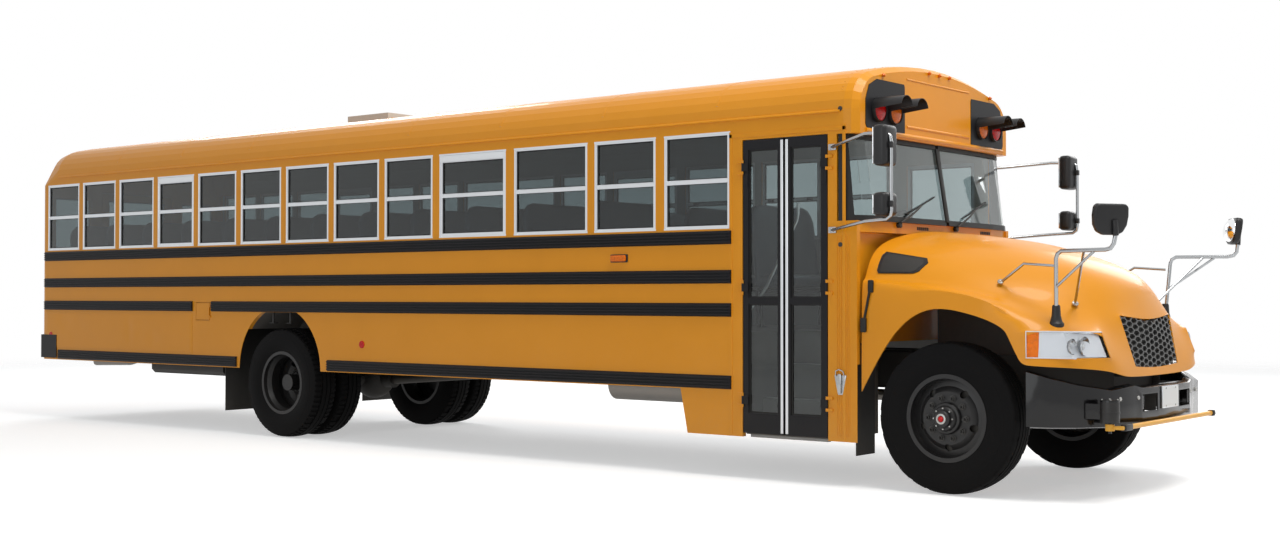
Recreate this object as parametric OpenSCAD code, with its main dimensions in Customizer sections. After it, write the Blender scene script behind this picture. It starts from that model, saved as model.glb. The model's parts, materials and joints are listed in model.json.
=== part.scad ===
// Conventional school bus: a hood and front axle ahead of a long passenger body.
// Millimetres. +X is forward, +Y is the driver's left, +Z is up and the ground is z = 0.
// Places along the bus are measured from the front axle, and in_frame() sets the front axle at axle_x.

/* [Overall] */
// Distance between the front and the rear axle
wheelbase = 7112; // [5900:10:8600]
// Width over the side sheets
body_w = 2438; // [2240:2:2930]
// Height of the roof's crown above the ground
roof_z = 3120; // [3000:10:3750]
// From the rear axle back to the rear face of the body
rear_overhang = 4250; // [3500:50:5100]

/* [Body shell] */
// Thickness of the walls, the roof and the end panels
wall_t = 45; // [36:1:56]
// Height of the passenger floor above the ground
floor_z = 1100; // [1080:5:1160]
// Height of the lower edge of the skirts
skirt_z = 655; // [545:5:785]
// Radius of the roof's edge
eave_r = 300; // [240:10:360]
// Radius of the roof's crown
crown_r = 4200; // [3500:100:6000]

/* [Windows and doors] */
// Height of the window sills
sill_z = 1878; // [1870:2:1900]
// Height of a side window
window_h = 729; // [600:1:740]
// Width of the entrance doorway
doorway_w = 750; // [700:10:800]
// Gap round the moving doors and lids
door_gap = 7; // [7:1:9]
// Width of the rear emergency door
rear_door_w = 940; // [780:10:1130]

/* [Wheels and axles] */
// Outer diameter of a tyre
tyre_d = 1054; // [1000:2:1060]
// Width of a tyre
tyre_w = 279; // [250:1:290]
// Diameter of the rim's bead seat
rim_d = 571.5; // [508:0.5:622]
// Distance between the two king pins
kingpin_span = 1700; // [1640:10:1760]

/* [Front end] */
// Thickness of the hood's shell
hood_t = 10; // [6:1:14]
// Thickness of the front bumper's sheet
bumper_t = 8; // [6:1:12]
// Length of the crossing arm
crossing_arm_l = 1730; // [1400:10:1760]
// Width of the stop sign across its flats
stop_sign_w = 450; // [380:10:460]

/* [Hidden] */

// The front axle's place, so that the whole bus is centred on the origin.
axle_x = 5074.5 + (wheelbase - 7112) / 2 + (rear_overhang - 4250) / 2;

// Scale of everything that spreads across the body's width
wide = body_w / 2438;
half_w = body_w / 2;
inner_w = half_w - wall_t;

// Stations along the bus
rear_x = -wheelbase - rear_overhang;
rear_corner_r = 100;
rear_cap_x = rear_x + 340;
doorway_x1 = -905;
doorway_x0 = doorway_x1 - doorway_w;
pillar_x = -830;
roof_front_x = -775;
cap_face_x = -650;
firewall_x = -700;
firewall_z = 1030;
cowl_panel_x = -665;

// Heights
roof_turn = acos((half_w - eave_r) / (crown_r - eave_r));
eave_z = roof_z - crown_r + (crown_r - eave_r) * sin(roof_turn);
head_z = sill_z + window_h;
cap_z = min(2530, eave_z - 60);
rear_cap_z = head_z + 5;
floor_t = 60;
step_bottom_z = 315;
doorway_z0 = 320;
doorway_z1 = 2535;
cowl_z = 1905;
glass_z0 = 1945;
glass_z1 = cap_z - 35;
skirt_t = 6;

// Wheels
axle_z = tyre_d / 2;
tyre_t = 24;
rim_t = 12;
front_tyre_y = half_w - 42 - tyre_w / 2;
dual_gap = 42;
rear_outer_y = half_w - 14 - tyre_w / 2;
rear_inner_y = rear_outer_y - tyre_w - dual_gap;
kingpin_y = kingpin_span / 2;
kingpin_r = 25;
spindle_r = 40;
rear_spindle_r = 50;
bearing_play = 0.05;
arch_r = 615;
arch_z = 650;
arch_top_z = 1208;
stud_circle_r = 142.875;
stud_hole_r = 13.5;

// Frame
rail_y = 432;
rail_z0 = 690;
rail_z1 = 945;
rail_w = 76;
rail_sheet = 8;
rail_front_x = 900;

// Rub rails: lower edge and height of each
rail_h = 102;
rail_d = 22;
upper_rails_z = [1758, 1461, 1210];
skirt_rail_z = 664;

// Windows: rear edge and width of each bay, from the rearmost window's edge, on a row 9438 long
bay_row = 9438;
bays = concat([for (i = [0:8]) [700 * i, 620]], [[6310, 800], [7210, 810], [8100, 625], [8814, 624]]);
exit_bays = [3, 9];
bays_x0 = rear_x + 150;
bays_x1 = doorway_x0 - 117;
bay_k = (bays_x1 - bays_x0) / bay_row;
window_frame = 24;
glass_t = 6;

// Rear door
rear_door_z0 = floor_z + 10;
rear_door_z1 = min(2560, rear_cap_z - 45);
rear_sill_z = 1900;
rear_hinges_z = [1250, 1800, 2350];

// Door leaves of the entrance
leaf_t = 40;
leaf_mid_x = (doorway_x0 + doorway_x1) / 2;
leaf_hinge_y = -half_w - 9;
leaf_hinges_z = [560, 1400, 2300];
leaf_z0 = 345;
leaf_z1 = doorway_z1 - door_gap;
leaf_frame = 48;
leaf_mid_z = 1330;

// Hood pivot, low behind the grille
hood_pivot = [980, 0, 850];
hood_pin_r = 14;
radiator_x = 760;
bumper_bracket_x = 1050;
cross_z = 835;
engine_x = -500;
gearbox_x = -1950;
bearing_x = -wheelbase + 2380;

// Crossing arm
arm_hinge = [1085, -960 * wide];
arm_x = 1165;
arm_z = 508;

// Stop arm on the left side
stop_hinge_x = -2080;
stop_hinge_y = half_w + 52;
stop_z = 1560;
stop_pin_r = 8;

// Roof hatch
hatch_x0 = -7190 * wheelbase / 7112;
hatch_l = 600;
hatch_w = 600;
hatch_x1 = hatch_x0 + hatch_l;
hatch_hinge = [hatch_x1 + 14, 0, roof_z + 14];
hatch_pin_r = 5;

// Fuel door on the right side
fuel_x = -wheelbase - 1214;
fuel_w = 234;
fuel_z = 1210;
fuel_h = 183;
fuel_gap = 6;
tank_x0 = -wheelbase - 2240;
tank_x1 = -wheelbase - 1010;

// Seats
bench_w = 990 * wide;
bench_pitch = 690 * (wheelbase + rear_overhang) / 11362;
left_benches = 13;
right_benches = 12;
bench_x0 = rear_x + 560;

// Steering wheel
steer_hub = [-1290, 600, 1830];
steer_tilt = 30;
steer_axis = [-sin(steer_tilt), 0, cos(steer_tilt)];

module in_frame() translate([axle_x, 0, 0]) children();

module box(x0, x1, y0, y1, z0, z1)
  translate([x0, y0, z0]) cube([x1 - x0, y1 - y0, z1 - z0]);

module both_sides() {
  children();
  mirror([0, 1, 0]) children();
}

// A round bar along Y, centred on the given height and place
module bar_y(x, y0, y1, z, r)
  translate([x, y1, z]) rotate([90, 0, 0]) cylinder(r = r, h = y1 - y0, $fn = 48);

// A round bar along X
module bar_x(x0, x1, y, z, r)
  translate([x0, y, z]) rotate([0, 90, 0]) cylinder(r = r, h = x1 - x0, $fn = 48);

// A round bar between two points
module rod(a, b, r) {
  d = b - a;
  turn = [0, acos(d[2] / norm(d)), atan2(d[1], d[0])];
  translate(a) rotate(turn) cylinder(r = r, h = norm(d), $fn = 24);
}

// Ring of n points round p, square to d
function tube_ring(p, d, r, n) =
  let(side = unit(cross(d, [0.31, 0.9, 0.27])), up = cross(side, unit(d)))
  [for (k = [0:n - 1]) p + r * (cos(360 * k / n) * side + sin(360 * k / n) * up)];

// A bent tube through a list of points
module tube(points, r, n = 14) {
  last = len(points) - 1;
  along = [for (k = [0:last]) unit(
    (k < last ? unit(points[k + 1] - points[k]) : [0, 0, 0]) + (k > 0 ? unit(points[k] - points[k - 1]) : [0, 0, 0]))];
  rings = [for (k = [0:last]) each tube_ring(points[k], along[k], r, n)];
  sides = [for (k = [0:last - 1], i = [0:n - 1])
    [k * n + i, k * n + (i + 1) % n, (k + 1) * n + (i + 1) % n, (k + 1) * n + i]];
  polyhedron(rings, concat(sides, [[for (i = [n - 1:-1:0]) i], [for (i = [0:n - 1]) last * n + i]]));
}

// A flat plate standing along the bus: its outline is drawn in X and Z
module side_sheet(y0, t)
  translate([0, y0 + t, 0]) rotate([90, 0, 0]) linear_extrude(t) children();

// A flat plate standing across the bus: its outline is drawn in Y and Z
module cross_sheet(x0, t)
  translate([x0, 0, 0]) rotate([90, 0, 90]) linear_extrude(t) children();

module rect(x0, x1, z0, z1) translate([x0, z0]) square([x1 - x0, z1 - z0]);

// Unit vector
function unit(v) = v / norm(v);

// Outward direction of a grid of points at row i and column j
function grid_normal(g, i, j) =
  let(
    a = g[min(i + 1, len(g) - 1)][j] - g[max(i - 1, 0)][j],
    b = g[i][min(j + 1, len(g[0]) - 1)] - g[i][max(j - 1, 0)]
  )
  unit(cross(a, b));

// Grid moved inward by t
function inset(g, t) =
  [for (i = [0:len(g) - 1]) [for (j = [0:len(g[0]) - 1]) g[i][j] - t * grid_normal(g, i, j)]];

// Grid moved straight back by t, its edges staying at their heights
function inset_level(g, t) =
  [for (i = [0:len(g) - 1]) [for (j = [0:len(g[0]) - 1])
    let(n = grid_normal(g, i, j)) g[i][j] - t * unit([n[0], n[1], 0])]];

// Part of a grid, shrunk about its middle by the factor k
function part_of(g, rows, cols, k) =
  let(cut = [for (i = rows) [for (j = cols) g[i][j]]],
      mid = mean([for (r = cut) each r]))
  [for (r = cut) [for (p = r) mid + (p - mid) * k]];
function mean(v) = [for (a = [0:2]) sum([for (p = v) p[a]]) / len(v)];
function sum(v, i = 0) = i < len(v) ? v[i] + sum(v, i + 1) : 0;

// A closed sheet between an outer and an inner grid of points. Cells listed in holes stay open.
// Columns before fold are split along the other diagonal, so that a symmetric grid stays symmetric.
module sheet(outer, inner, holes = [], fold = 0) {
  rows = len(outer);
  cols = len(outer[0]);
  function solid_cell(i, j) =
    i >= 0 && i < rows - 1 && j >= 0 && j < cols - 1 && !is_hole(i, j);
  function is_hole(i, j) = len([for (h = holes) if (h[0] == i && h[1] == j) 1]) > 0;
  function at(i, j) = i * cols + j;
  n = rows * cols;
  points = concat([for (r = outer) each r], [for (r = inner) each r]);
  faces = [
    for (i = [0:rows - 2], j = [0:cols - 2])
      if (solid_cell(i, j))
        each let(a = at(i, j), b = at(i, j + 1), c = at(i + 1, j + 1), d = at(i + 1, j)) concat(
          j < fold
            ? [[a, b, d], [b, c, d], [n + d, n + b, n + a], [n + d, n + c, n + b]]
            : [[a, b, c], [a, c, d], [n + c, n + b, n + a], [n + d, n + c, n + a]],
          solid_cell(i - 1, j) ? [] : [[b, a, n + a], [b, n + a, n + b]],
          solid_cell(i, j + 1) ? [] : [[c, b, n + b], [c, n + b, n + c]],
          solid_cell(i + 1, j) ? [] : [[d, c, n + c], [d, n + c, n + d]],
          solid_cell(i, j - 1) ? [] : [[a, d, n + d], [a, n + d, n + a]]
        )
  ];
  polyhedron(points, faces);
}

// Hinge about the Z axis with h high eyes. The panel lies toward +X with its face at y = face.
module hinge_eye(h, r, pin, reach, face) difference() {
  union() {
    cylinder(r = r, h = h, $fn = 32);
    box(0, reach, -3, face, 0, h);
  }
  translate([0, 0, -1]) cylinder(r = pin + bearing_play, h = h + 2, $fn = 32);
}

// The fixed half: a pin through the eye, and an ear below and above it on a plate toward -X
module hinge_ears(h, r, pin, reach, face) {
  translate([0, 0, -24]) cylinder(r = pin, h = h + 48, $fn = 32);
  for (z = [-24, h + 2]) translate([0, 0, z]) {
    cylinder(r = r, h = 22, $fn = 32);
    box(-reach, 0, -3, face, 0, 22);
  }
}

// Half outline of the roof from the right eave over the crown to the left, moved inward by d
function roof_line(d) = concat(
  [for (k = [0:6]) let(a = 180 - roof_turn * k / 6)
    [-(half_w - eave_r) + (eave_r - d) * cos(a), eave_z + (eave_r - d) * sin(a)]],
  [for (k = [1:9]) let(a = 180 - roof_turn + (2 * roof_turn - 180) * k / 10)
    [(crown_r - d) * cos(a), roof_z - crown_r + (crown_r - d) * sin(a)]],
  [for (k = [6:-1:0]) let(a = roof_turn * k / 6)
    [half_w - eave_r + (eave_r - d) * cos(a), eave_z + (eave_r - d) * sin(a)]]
);

// Roof section closed along the height z, moved inward by d
module roof_section(d, z)
  polygon(concat(roof_line(d), [[half_w - d, z], [-(half_w - d), z]]));

// ---------------------------------------------------------------- chassis

// The two channels, each with its bracket for the bumper
module frame_rails() color("#1b1b1b") in_frame() both_sides() {
  difference() {
    box(rear_x + 60, rail_front_x, rail_y - rail_w, rail_y, rail_z0, rail_z1);
    box(rear_x + 50, rail_front_x + 10, rail_y - rail_w - 1, rail_y - rail_sheet,
      rail_z0 + rail_sheet, rail_z1 - rail_sheet);
  }
  box(rail_front_x - 40, bumper_bracket_x, rail_y - 20, rail_y, 560, 750);
}

// Bars between the channels. The front one holds the hood's hinge bar.
module cross_members() color("#1b1b1b") in_frame() {
  web_y = rail_y - rail_sheet;
  hinge_y = rail_y - rail_w;
  for (x = [rear_x + 120, rear_x + 1500, -wheelbase - 700, -wheelbase + 700, bearing_x, -2200])
    box(x, x + 90, -web_y, web_y, cross_z, rail_z1 - 20);
  box(radiator_x, radiator_x + 90, -web_y, web_y, rail_z0 + 20, rail_z1 - 20);
  both_sides()
    box(radiator_x, hood_pivot[0] + 20, hinge_y, hinge_y + 20, hood_pivot[2] - 40, hood_pivot[2] + 20);
  bar_y(hood_pivot[0], -hinge_y - 26, hinge_y + 26, hood_pivot[2], hood_pin_r);
}

// Bars across the tops of the channels, under the floor
module body_sills() color("#1b1b1b") in_frame() for (k = [0:13]) {
  x = rear_x + 300 + k * (-rear_x - 2300) / 13;
  y = abs(x + wheelbase) > 620 ? inner_w - 20 : 540;
  box(x, x + 60, -y, y, rail_z1, floor_z - floor_t);
}

module tow_eyes() color("#1b1b1b") in_frame() both_sides() difference() {
  union() {
    box(rear_x - 60, rear_x + 200, rail_y - 50, rail_y - 25, 560, 645);
    box(rear_x + 60, rear_x + 200, rail_y - 50, rail_y - 25, 640, rail_z0);
  }
  bar_y(rear_x - 20, rail_y - 60, rail_y - 10, 600, 20);
}

module front_axle() color("#1b1b1b") in_frame() {
  difference() {
    union() {
      box(-45, 45, -560, 560, 400, 500);
      both_sides() {
        rod([0, 540, 450], [0, kingpin_y - 60, axle_z - 5], 46);
        translate([0, kingpin_y, axle_z - 75]) cylinder(r = 52, h = 150, $fn = 48);
        box(-40, 40, kingpin_y - 90, kingpin_y - 20, axle_z - 50, axle_z + 50);
      }
    }
    both_sides() translate([0, kingpin_y, 0]) cylinder(r = kingpin_r + bearing_play, h = 900, $fn = 48);
  }
}

// Spring arched along X: hung from the frame, sitting on its axle
module leaf_spring(x, half_l, z_axle, z_end) {
  rise = z_end - z_axle;
  steps = 8;
  line = [for (k = [-steps:steps]) [x + half_l * k / steps, z_axle + rise * pow(k / steps, 2)]];
  side_sheet(rail_y - 82, 76)
    polygon(concat(line, [for (k = [steps:-1:-steps])
      [x + half_l * k / steps, z_axle + rise * pow(k / steps, 2) + 70 - 40 * abs(k) / steps]]));
}

module leaf_springs() color("#161616") in_frame() both_sides() {
  leaf_spring(0, 640, 500, rail_z0 - 60);
  leaf_spring(-wheelbase, 760, axle_z + 72, rail_z0 - 44);
  // Hangers up to the frame
  for (x = [-650, 590, -wheelbase - 750, -wheelbase + 690])
    box(x, x + 60, rail_y - 74, rail_y - 14, 615, rail_z0);
}

module rear_axle() color("#1b1b1b") in_frame() {
  bar_y(-wheelbase, -rear_inner_y + tyre_w / 2 + 20, rear_inner_y - tyre_w / 2 - 20, axle_z, 72);
  translate([-wheelbase, 0, axle_z]) sphere(r = 205, $fn = 48);
  bar_x(-wheelbase, -wheelbase + 300, 0, axle_z, 90);
  bar_y(-wheelbase, -rear_outer_y - 15, rear_outer_y + 15, axle_z, rear_spindle_r);
}

module driveshaft() color("#2a2a2a") in_frame() {
  mid = bearing_x + 45;
  rod([-wheelbase + 305, 0, axle_z], [mid, 0, 690], 55);
  rod([mid, 0, 690], [gearbox_x - 2, 0, 760], 55);
  box(bearing_x, bearing_x + 90, -60, 60, 640, cross_z);
}

// Engine and gearbox as one plain mass
module engine_block() color("#3a3a3a") in_frame() {
  box(engine_x, 520, -330, 330, 690, 1390);
  box(gearbox_x, engine_x, -240, 240, 660, rail_z1 - 5);
  // Mounts on the frame's webs
  box(-100, 0, -rail_y + rail_sheet, rail_y - rail_sheet, 760, 800);
}

module radiator() color("#202020") in_frame() {
  box(radiator_x - 110, radiator_x, -350, 350, 700, 1230);
  box(radiator_x - 200, radiator_x - 110, -300, 300, 760, 1180);
}

module fuel_tank() color("#141414") in_frame() {
  outer = 1120 * wide;
  translate([tank_x0, 0, 0]) rotate([90, 0, 90]) linear_extrude(tank_x1 - tank_x0)
    polygon([[-outer + 40, 555], [-640, 555], [-600, 595], [-600, 930], [-outer, 930], [-outer, 595]]);
  // Straps to the right rail
  for (x = [tank_x0 + 180, tank_x1 - 240]) box(x, x + 60, -640, -rail_y, 880, 925);
}

module exhaust() color("#6f6f6c") in_frame() {
  y = -520;
  bar_x(-3160, -2410, -860, 645, 130);
  tube([[-2412, -860, 620], [-2300, -800, 612], [-2050, -480, 606], [-1800, -292, 606], [-900, -292, 610],
    [-640, -292, 715], [engine_x - 0.3, -292, 715]], 44);
  tube([[-3158, -860, 660], [-3300, -800, 700], [-3500, y, 790], [-wheelbase - 2700, y, 790],
    [rear_x + 700, y, 620], [rear_x + 20, y, 600]], 44);
  // Hanger from the right rail
  box(-2800, -2760, -880, -rail_y, 760, 790);
}

// ---------------------------------------------------------------- wheels

// Steering knuckle at the origin of its king pin, spindle toward +Y
module knuckle() {
  spindle_end = front_tyre_y - kingpin_y + 100;
  cylinder(r = kingpin_r, h = 250, center = true, $fn = 48);
  translate([0, 0, 75.5]) cylinder(r = 52, h = 34, $fn = 48);
  translate([0, 0, -109.5]) cylinder(r = 52, h = 34, $fn = 48);
  box(-45, 45, 60, 110, -109.5, 109.5);
  box(-45, 45, 0, 80, 75.5, 109.5);
  box(-45, 45, 0, 80, -109.5, -75.5);
  rotate([-90, 0, 0]) translate([0, 0, 100]) cylinder(r = 78, h = 26, $fn = 48);
  rotate([-90, 0, 0]) translate([0, 0, 100]) cylinder(r = spindle_r, h = spindle_end - 100, $fn = 48);
  // Brake backing plate
  rotate([-90, 0, 0]) translate([0, 0, 104]) cylinder(r = 190, h = 6, $fn = 64);
}

module knuckle_left() color("#222222") in_frame()
  translate([0, kingpin_y, axle_z]) knuckle();

module knuckle_right() color("#222222") in_frame()
  translate([0, -kingpin_y, axle_z]) mirror([0, 1, 0]) knuckle();

// Tyre about the Z axis, its width centred on z = 0
module tyre() {
  r = tyre_d / 2;
  w = tyre_w / 2;
  bead = rim_d / 2;
  rotate_extrude($fn = 96) polygon([
    [bead, -w + 34], [bead + 20, -w + 34], [bead + 30, -w + 14], [bead + 90, -w], [r - 70, -w + 6], [r - 14, -w + 24],
    [r, -w + 42], [r, w - 42], [r - 14, w - 24], [r - 70, w - 6], [bead + 90, w], [bead + 30, w - 14],
    [bead + 20, w - 34], [bead, w - 34], [bead, w - 62], [bead + 30, w - 40], [r - 84, w - 28], [r - 36, w - 52],
    [r - 36, -w + 52], [r - 84, -w + 28], [bead + 30, -w + 40], [bead, -w + 62]
  ]);
}

// Disc wheel about the Z axis: rim barrel, disc toward +Z by disc_z, and hand holes
module rim(disc_z, edge_r) {
  bead = rim_d / 2;
  w = tyre_w / 2;
  difference() {
    union() {
      rotate_extrude($fn = 96) polygon([
        [bead - rim_t, -w + 20], [bead + 18, -w + 20], [bead + 18, -w + 30], [bead, -w + 34],
        [bead, -w + 66], [bead - 22, -w + 96], [bead - 22, w - 96], [bead, w - 66], [bead, w - 34],
        [bead + 18, w - 30], [bead + 18, w - 20], [bead - rim_t, w - 20], [bead - rim_t, w - 60],
        [bead - 22 - rim_t, w - 100], [bead - 22 - rim_t, -w + 100], [bead - rim_t, -w + 60]
      ]);
      translate([0, 0, disc_z]) rotate_extrude($fn = 96) polygon([
        [80, -12], [178, -12], [214, -44], [edge_r, -54], [edge_r, -42], [220, -32],
        [184, 0], [80, 0]
      ]);
    }
    for (k = [0:9]) rotate(36 * k) translate([stud_circle_r, 0, -w]) cylinder(r = stud_hole_r, h = 2 * w + 60, $fn = 32);
    for (k = [0:4]) rotate(72 * k + 18) translate([204, 0, disc_z - 90]) cylinder(r = 26, h = 120, $fn = 32);
  }
}

// Hub about the Z axis with the wheel studs
module hub(z0, z1, bore, flange_z) {
  difference() {
    union() {
      translate([0, 0, z0]) cylinder(r = 78, h = z1 - z0, $fn = 48);
      translate([0, 0, flange_z - 24]) cylinder(r = 168, h = 24, $fn = 64);
      for (k = [0:9]) rotate(36 * k) translate([stud_circle_r, 0, flange_z - 12]) cylinder(r = 11, h = 70, $fn = 32);
    }
    translate([0, 0, z0 - 1]) cylinder(r = bore, h = z1 - z0 - 20, $fn = 48);
  }
}

// Front wheel on the left: the disc sits outboard
module front_rim() rotate([-90, 0, 0]) {
  rim(100, rim_d / 2 - 20);
  hub(-60, 130, spindle_r + bearing_play, 88);
}

module tyre_front_left() color("#181818") in_frame() translate([0, front_tyre_y, axle_z]) rotate([-90, 0, 0]) tyre();
module tyre_front_right() color("#181818") in_frame() translate([0, -front_tyre_y, axle_z]) rotate([-90, 0, 0]) tyre();
module rim_front_left() color("#1f1f1f") in_frame() translate([0, front_tyre_y, axle_z]) front_rim();
module rim_front_right() color("#1f1f1f") in_frame() mirror([0, 1, 0]) translate([0, front_tyre_y, axle_z]) front_rim();

// Twin rear tyres of the left side
module rear_tyres() for (y = [rear_inner_y, rear_outer_y])
  translate([-wheelbase, y, axle_z]) rotate([-90, 0, 0]) tyre();

// Twin rear rims of the left side, disc against disc, with their hub
module rear_rims() {
  mid = (rear_outer_y - rear_inner_y) / 2;
  translate([-wheelbase, rear_outer_y, axle_z]) rotate([-90, 0, 0]) mirror([0, 0, 1]) rim(mid, rim_d / 2 - 6);
  translate([-wheelbase, rear_inner_y, axle_z]) rotate([-90, 0, 0]) rim(mid, rim_d / 2 - 6);
  translate([-wheelbase, (rear_outer_y + rear_inner_y) / 2, axle_z]) rotate([-90, 0, 0])
    hub(-190, 210, rear_spindle_r + bearing_play, -12);
}

module tyres_rear_left() color("#181818") in_frame() rear_tyres();
module tyres_rear_right() color("#181818") in_frame() mirror([0, 1, 0]) rear_tyres();
module rims_rear_left() color("#1f1f1f") in_frame() rear_rims();
module rims_rear_right() color("#1f1f1f") in_frame() mirror([0, 1, 0]) rear_rims();

// ---------------------------------------------------------------- body

module wheelhouse() {
  house_r = arch_r + 8;
  y0 = rear_inner_y - tyre_w / 2 - 30;
  difference() {
    bar_y(-wheelbase, y0, inner_w, arch_z, house_r);
    bar_y(-wheelbase, y0 + 6, inner_w + 1, arch_z, house_r - 6);
    box(-wheelbase - 700, -wheelbase + 700, y0 - 1, inner_w + 1, 0, floor_z - floor_t);
  }
}

module floor() color("#3b3b38") in_frame() {
  well_y = -510;
  difference() {
    box(rear_x + wall_t, firewall_x - wall_t, -inner_w, inner_w, floor_z - floor_t, floor_z);
    both_sides() bar_y(-wheelbase, rear_inner_y - tyre_w / 2 - 29, inner_w + 1, arch_z, arch_r + 7);
    box(doorway_x0, doorway_x1, -half_w, well_y, 0, floor_z + 1);
    both_sides() box(rear_x, rear_x + rear_corner_r, half_w - rear_corner_r, half_w, 0, floor_z + 1);
  }
  both_sides() wheelhouse();
  // Entrance steps: treads, risers and the two sides of the well
  rise = (floor_z - doorway_z0 - 20) / 3;
  run = (inner_w - 8 + well_y) / 3;
  for (k = [0:2]) {
    y = -inner_w + 8 + k * run;
    z = doorway_z0 + 20 + k * rise;
    box(doorway_x0, doorway_x1, y, y + run, z - 8, z);
    box(doorway_x0, doorway_x1, y + run - 8, y + run, z - 8, z + rise);
  }
  for (x = [doorway_x0, doorway_x1 - 6])
    box(x, x + 6, -inner_w + 8, well_y, doorway_z0 + 12, floor_z);
}

// Outline of a side from the skirt to the eave, with the entrance doorway on the right
module side_outline(entrance) {
  front_edge = entrance
    ? [[doorway_x0 - 584, skirt_z], [doorway_x0 - 516, step_bottom_z], [doorway_x0, step_bottom_z],
       [doorway_x0, doorway_z1], [doorway_x1, doorway_z1], [doorway_x1, cowl_z]]
    : [[doorway_x1, skirt_z], [doorway_x1, cowl_z]];
  polygon(concat([[rear_x + rear_corner_r, skirt_z]], front_edge,
    [[pillar_x, cowl_z], [pillar_x, cap_z], [roof_front_x, cap_z], [roof_front_x, eave_z],
     [rear_cap_x, eave_z], [rear_cap_x, rear_cap_z], [rear_x + rear_corner_r, rear_cap_z]]));
}

// Window openings of one side
module window_holes() {
  for (b = bays) rect(bays_x0 + b[0] * bay_k, bays_x0 + (b[0] + b[1]) * bay_k, sill_z, head_z);
}

module arch_hole() intersection() {
  translate([-wheelbase, arch_z]) circle(r = arch_r, $fn = 96);
  rect(-wheelbase - 700, -wheelbase + 700, 0, arch_top_z);
}

module side_wall(entrance) difference() {
  side_sheet(inner_w, wall_t) difference() {
    side_outline(entrance);
    window_holes();
    arch_hole();
    if (!entrance) rect(doorway_x0 + 60, doorway_x1 - 50, sill_z - 60, 2490);
  }
  // Below the floor the skirt is a single folded sheet
  box(rear_x + rear_corner_r + 40, doorway_x0 - 40, inner_w - 1, half_w - skirt_t, 0, floor_z - floor_t);
  if (!entrance)
    box(doorway_x0 - 50, doorway_x1 - 40, inner_w - 1, half_w - skirt_t, 0, floor_z - floor_t);
  if (entrance)
    box(fuel_x - fuel_w / 2, fuel_x + fuel_w / 2, half_w - 34, half_w + 1, fuel_z - fuel_h / 2, fuel_z + fuel_h / 2);
}

module side_wall_left() color("#f2a900") in_frame() {
  side_wall(false);
  // Pin of the stop arm between two brackets
  translate([stop_hinge_x, stop_hinge_y, stop_z - 150]) cylinder(r = stop_pin_r, h = 300, $fn = 32);
  for (z = [stop_z - 150, stop_z + 115])
    box(stop_hinge_x - 20, stop_hinge_x + 20, half_w, stop_hinge_y + 18, z, z + 35);
}

module side_wall_right() color("#f2a900") in_frame() {
  mirror([0, 1, 0]) side_wall(true);
  for (z = leaf_hinges_z) translate([leaf_x0, leaf_hinge_y, z]) leaf_ears();
  translate([0, 0, leaf_hinges_z[2]]) other_leaf() translate([leaf_x0, leaf_hinge_y, 0]) leaf_ears();
  translate([fuel_x + fuel_w / 2 - fuel_gap, -half_w - 7, fuel_z - 40]) mirror([1, 0, 0]) hinge_ears(80, 6, 3, 22, 7);
}

module roof() color("#f2a900") in_frame() {
  difference() {
    union() {
      cross_sheet(rear_cap_x, roof_front_x - rear_cap_x) difference() {
        roof_section(0, eave_z);
        roof_section(wall_t, eave_z - 1);
      }
      // Curb of the hatch
      box(hatch_x0 + 20, hatch_x1 - 20, -hatch_w / 2 + 20, hatch_w / 2 - 20, roof_z - 40, roof_z + 50);
    }
    box(hatch_x0 + 32, hatch_x1 - 32, -hatch_w / 2 + 32, hatch_w / 2 - 32, roof_z - 300, roof_z + 60);
  }
  // Hinge bar of the hatch on two brackets
  bar_y(hatch_hinge[0], -hatch_w / 2 + 40, hatch_w / 2 - 40, hatch_hinge[2], hatch_pin_r);
  both_sides() box(hatch_hinge[0] - 8, hatch_hinge[0] + 8, hatch_w / 2 - 55, hatch_w / 2 - 40, roof_z - 30, hatch_hinge[2] + 8);
}

// One thin roof section of the front or rear cap
module cap_slice(x, d, z) cross_sheet(x, 1) roof_section(d, z);

module front_cap_body(d) hull() {
  cap_slice(roof_front_x, d, cap_z + d);
  cap_slice(roof_front_x + 60, d + 8, cap_z + d);
  cap_slice(cap_face_x - 12 - d, d + 45, cap_z + d);
}

module front_cap() color("#f2a900") in_frame() {
  difference() {
    front_cap_body(0);
    translate([-1, 0, -1]) front_cap_body(wall_t);
  }
}

module rear_cap_body(d) hull() {
  translate([-1, 0, 0]) cap_slice(rear_cap_x, d, rear_cap_z - d);
  for (k = [1:3]) let(a = 28 * k)
    cap_slice(rear_cap_x - (340 - d) * sin(a), d + 250 * (1 - cos(a)), rear_cap_z - d);
  translate([0, 0, rear_cap_z - d]) linear_extrude(1) rear_plan(d);
}

// Plan of the rear end with its round corners, moved inward by d
module rear_plan(d) hull() {
  rect(rear_x + rear_corner_r, rear_cap_x, -half_w + d, half_w - d);
  for (s = [-1, 1]) translate([rear_x + rear_corner_r, s * (half_w - rear_corner_r)])
    circle(r = rear_corner_r - d, $fn = 48);
}

module rear_cap() color("#f2a900") in_frame() difference() {
  rear_cap_body(0);
  translate([1, 0, -1]) rear_cap_body(wall_t);
  box(rear_x - 10, rear_cap_x + 10, -half_w, half_w, rear_cap_z - 200, rear_cap_z);
}

module rear_wall() color("#f2a900") in_frame() {
  rear_panel();
  for (z = rear_hinges_z) translate([rear_x - 9, -rear_door_w / 2, z]) mirror([1, -1, 0]) hinge_ears(80, 8, 4, 60, 9);
}

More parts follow.
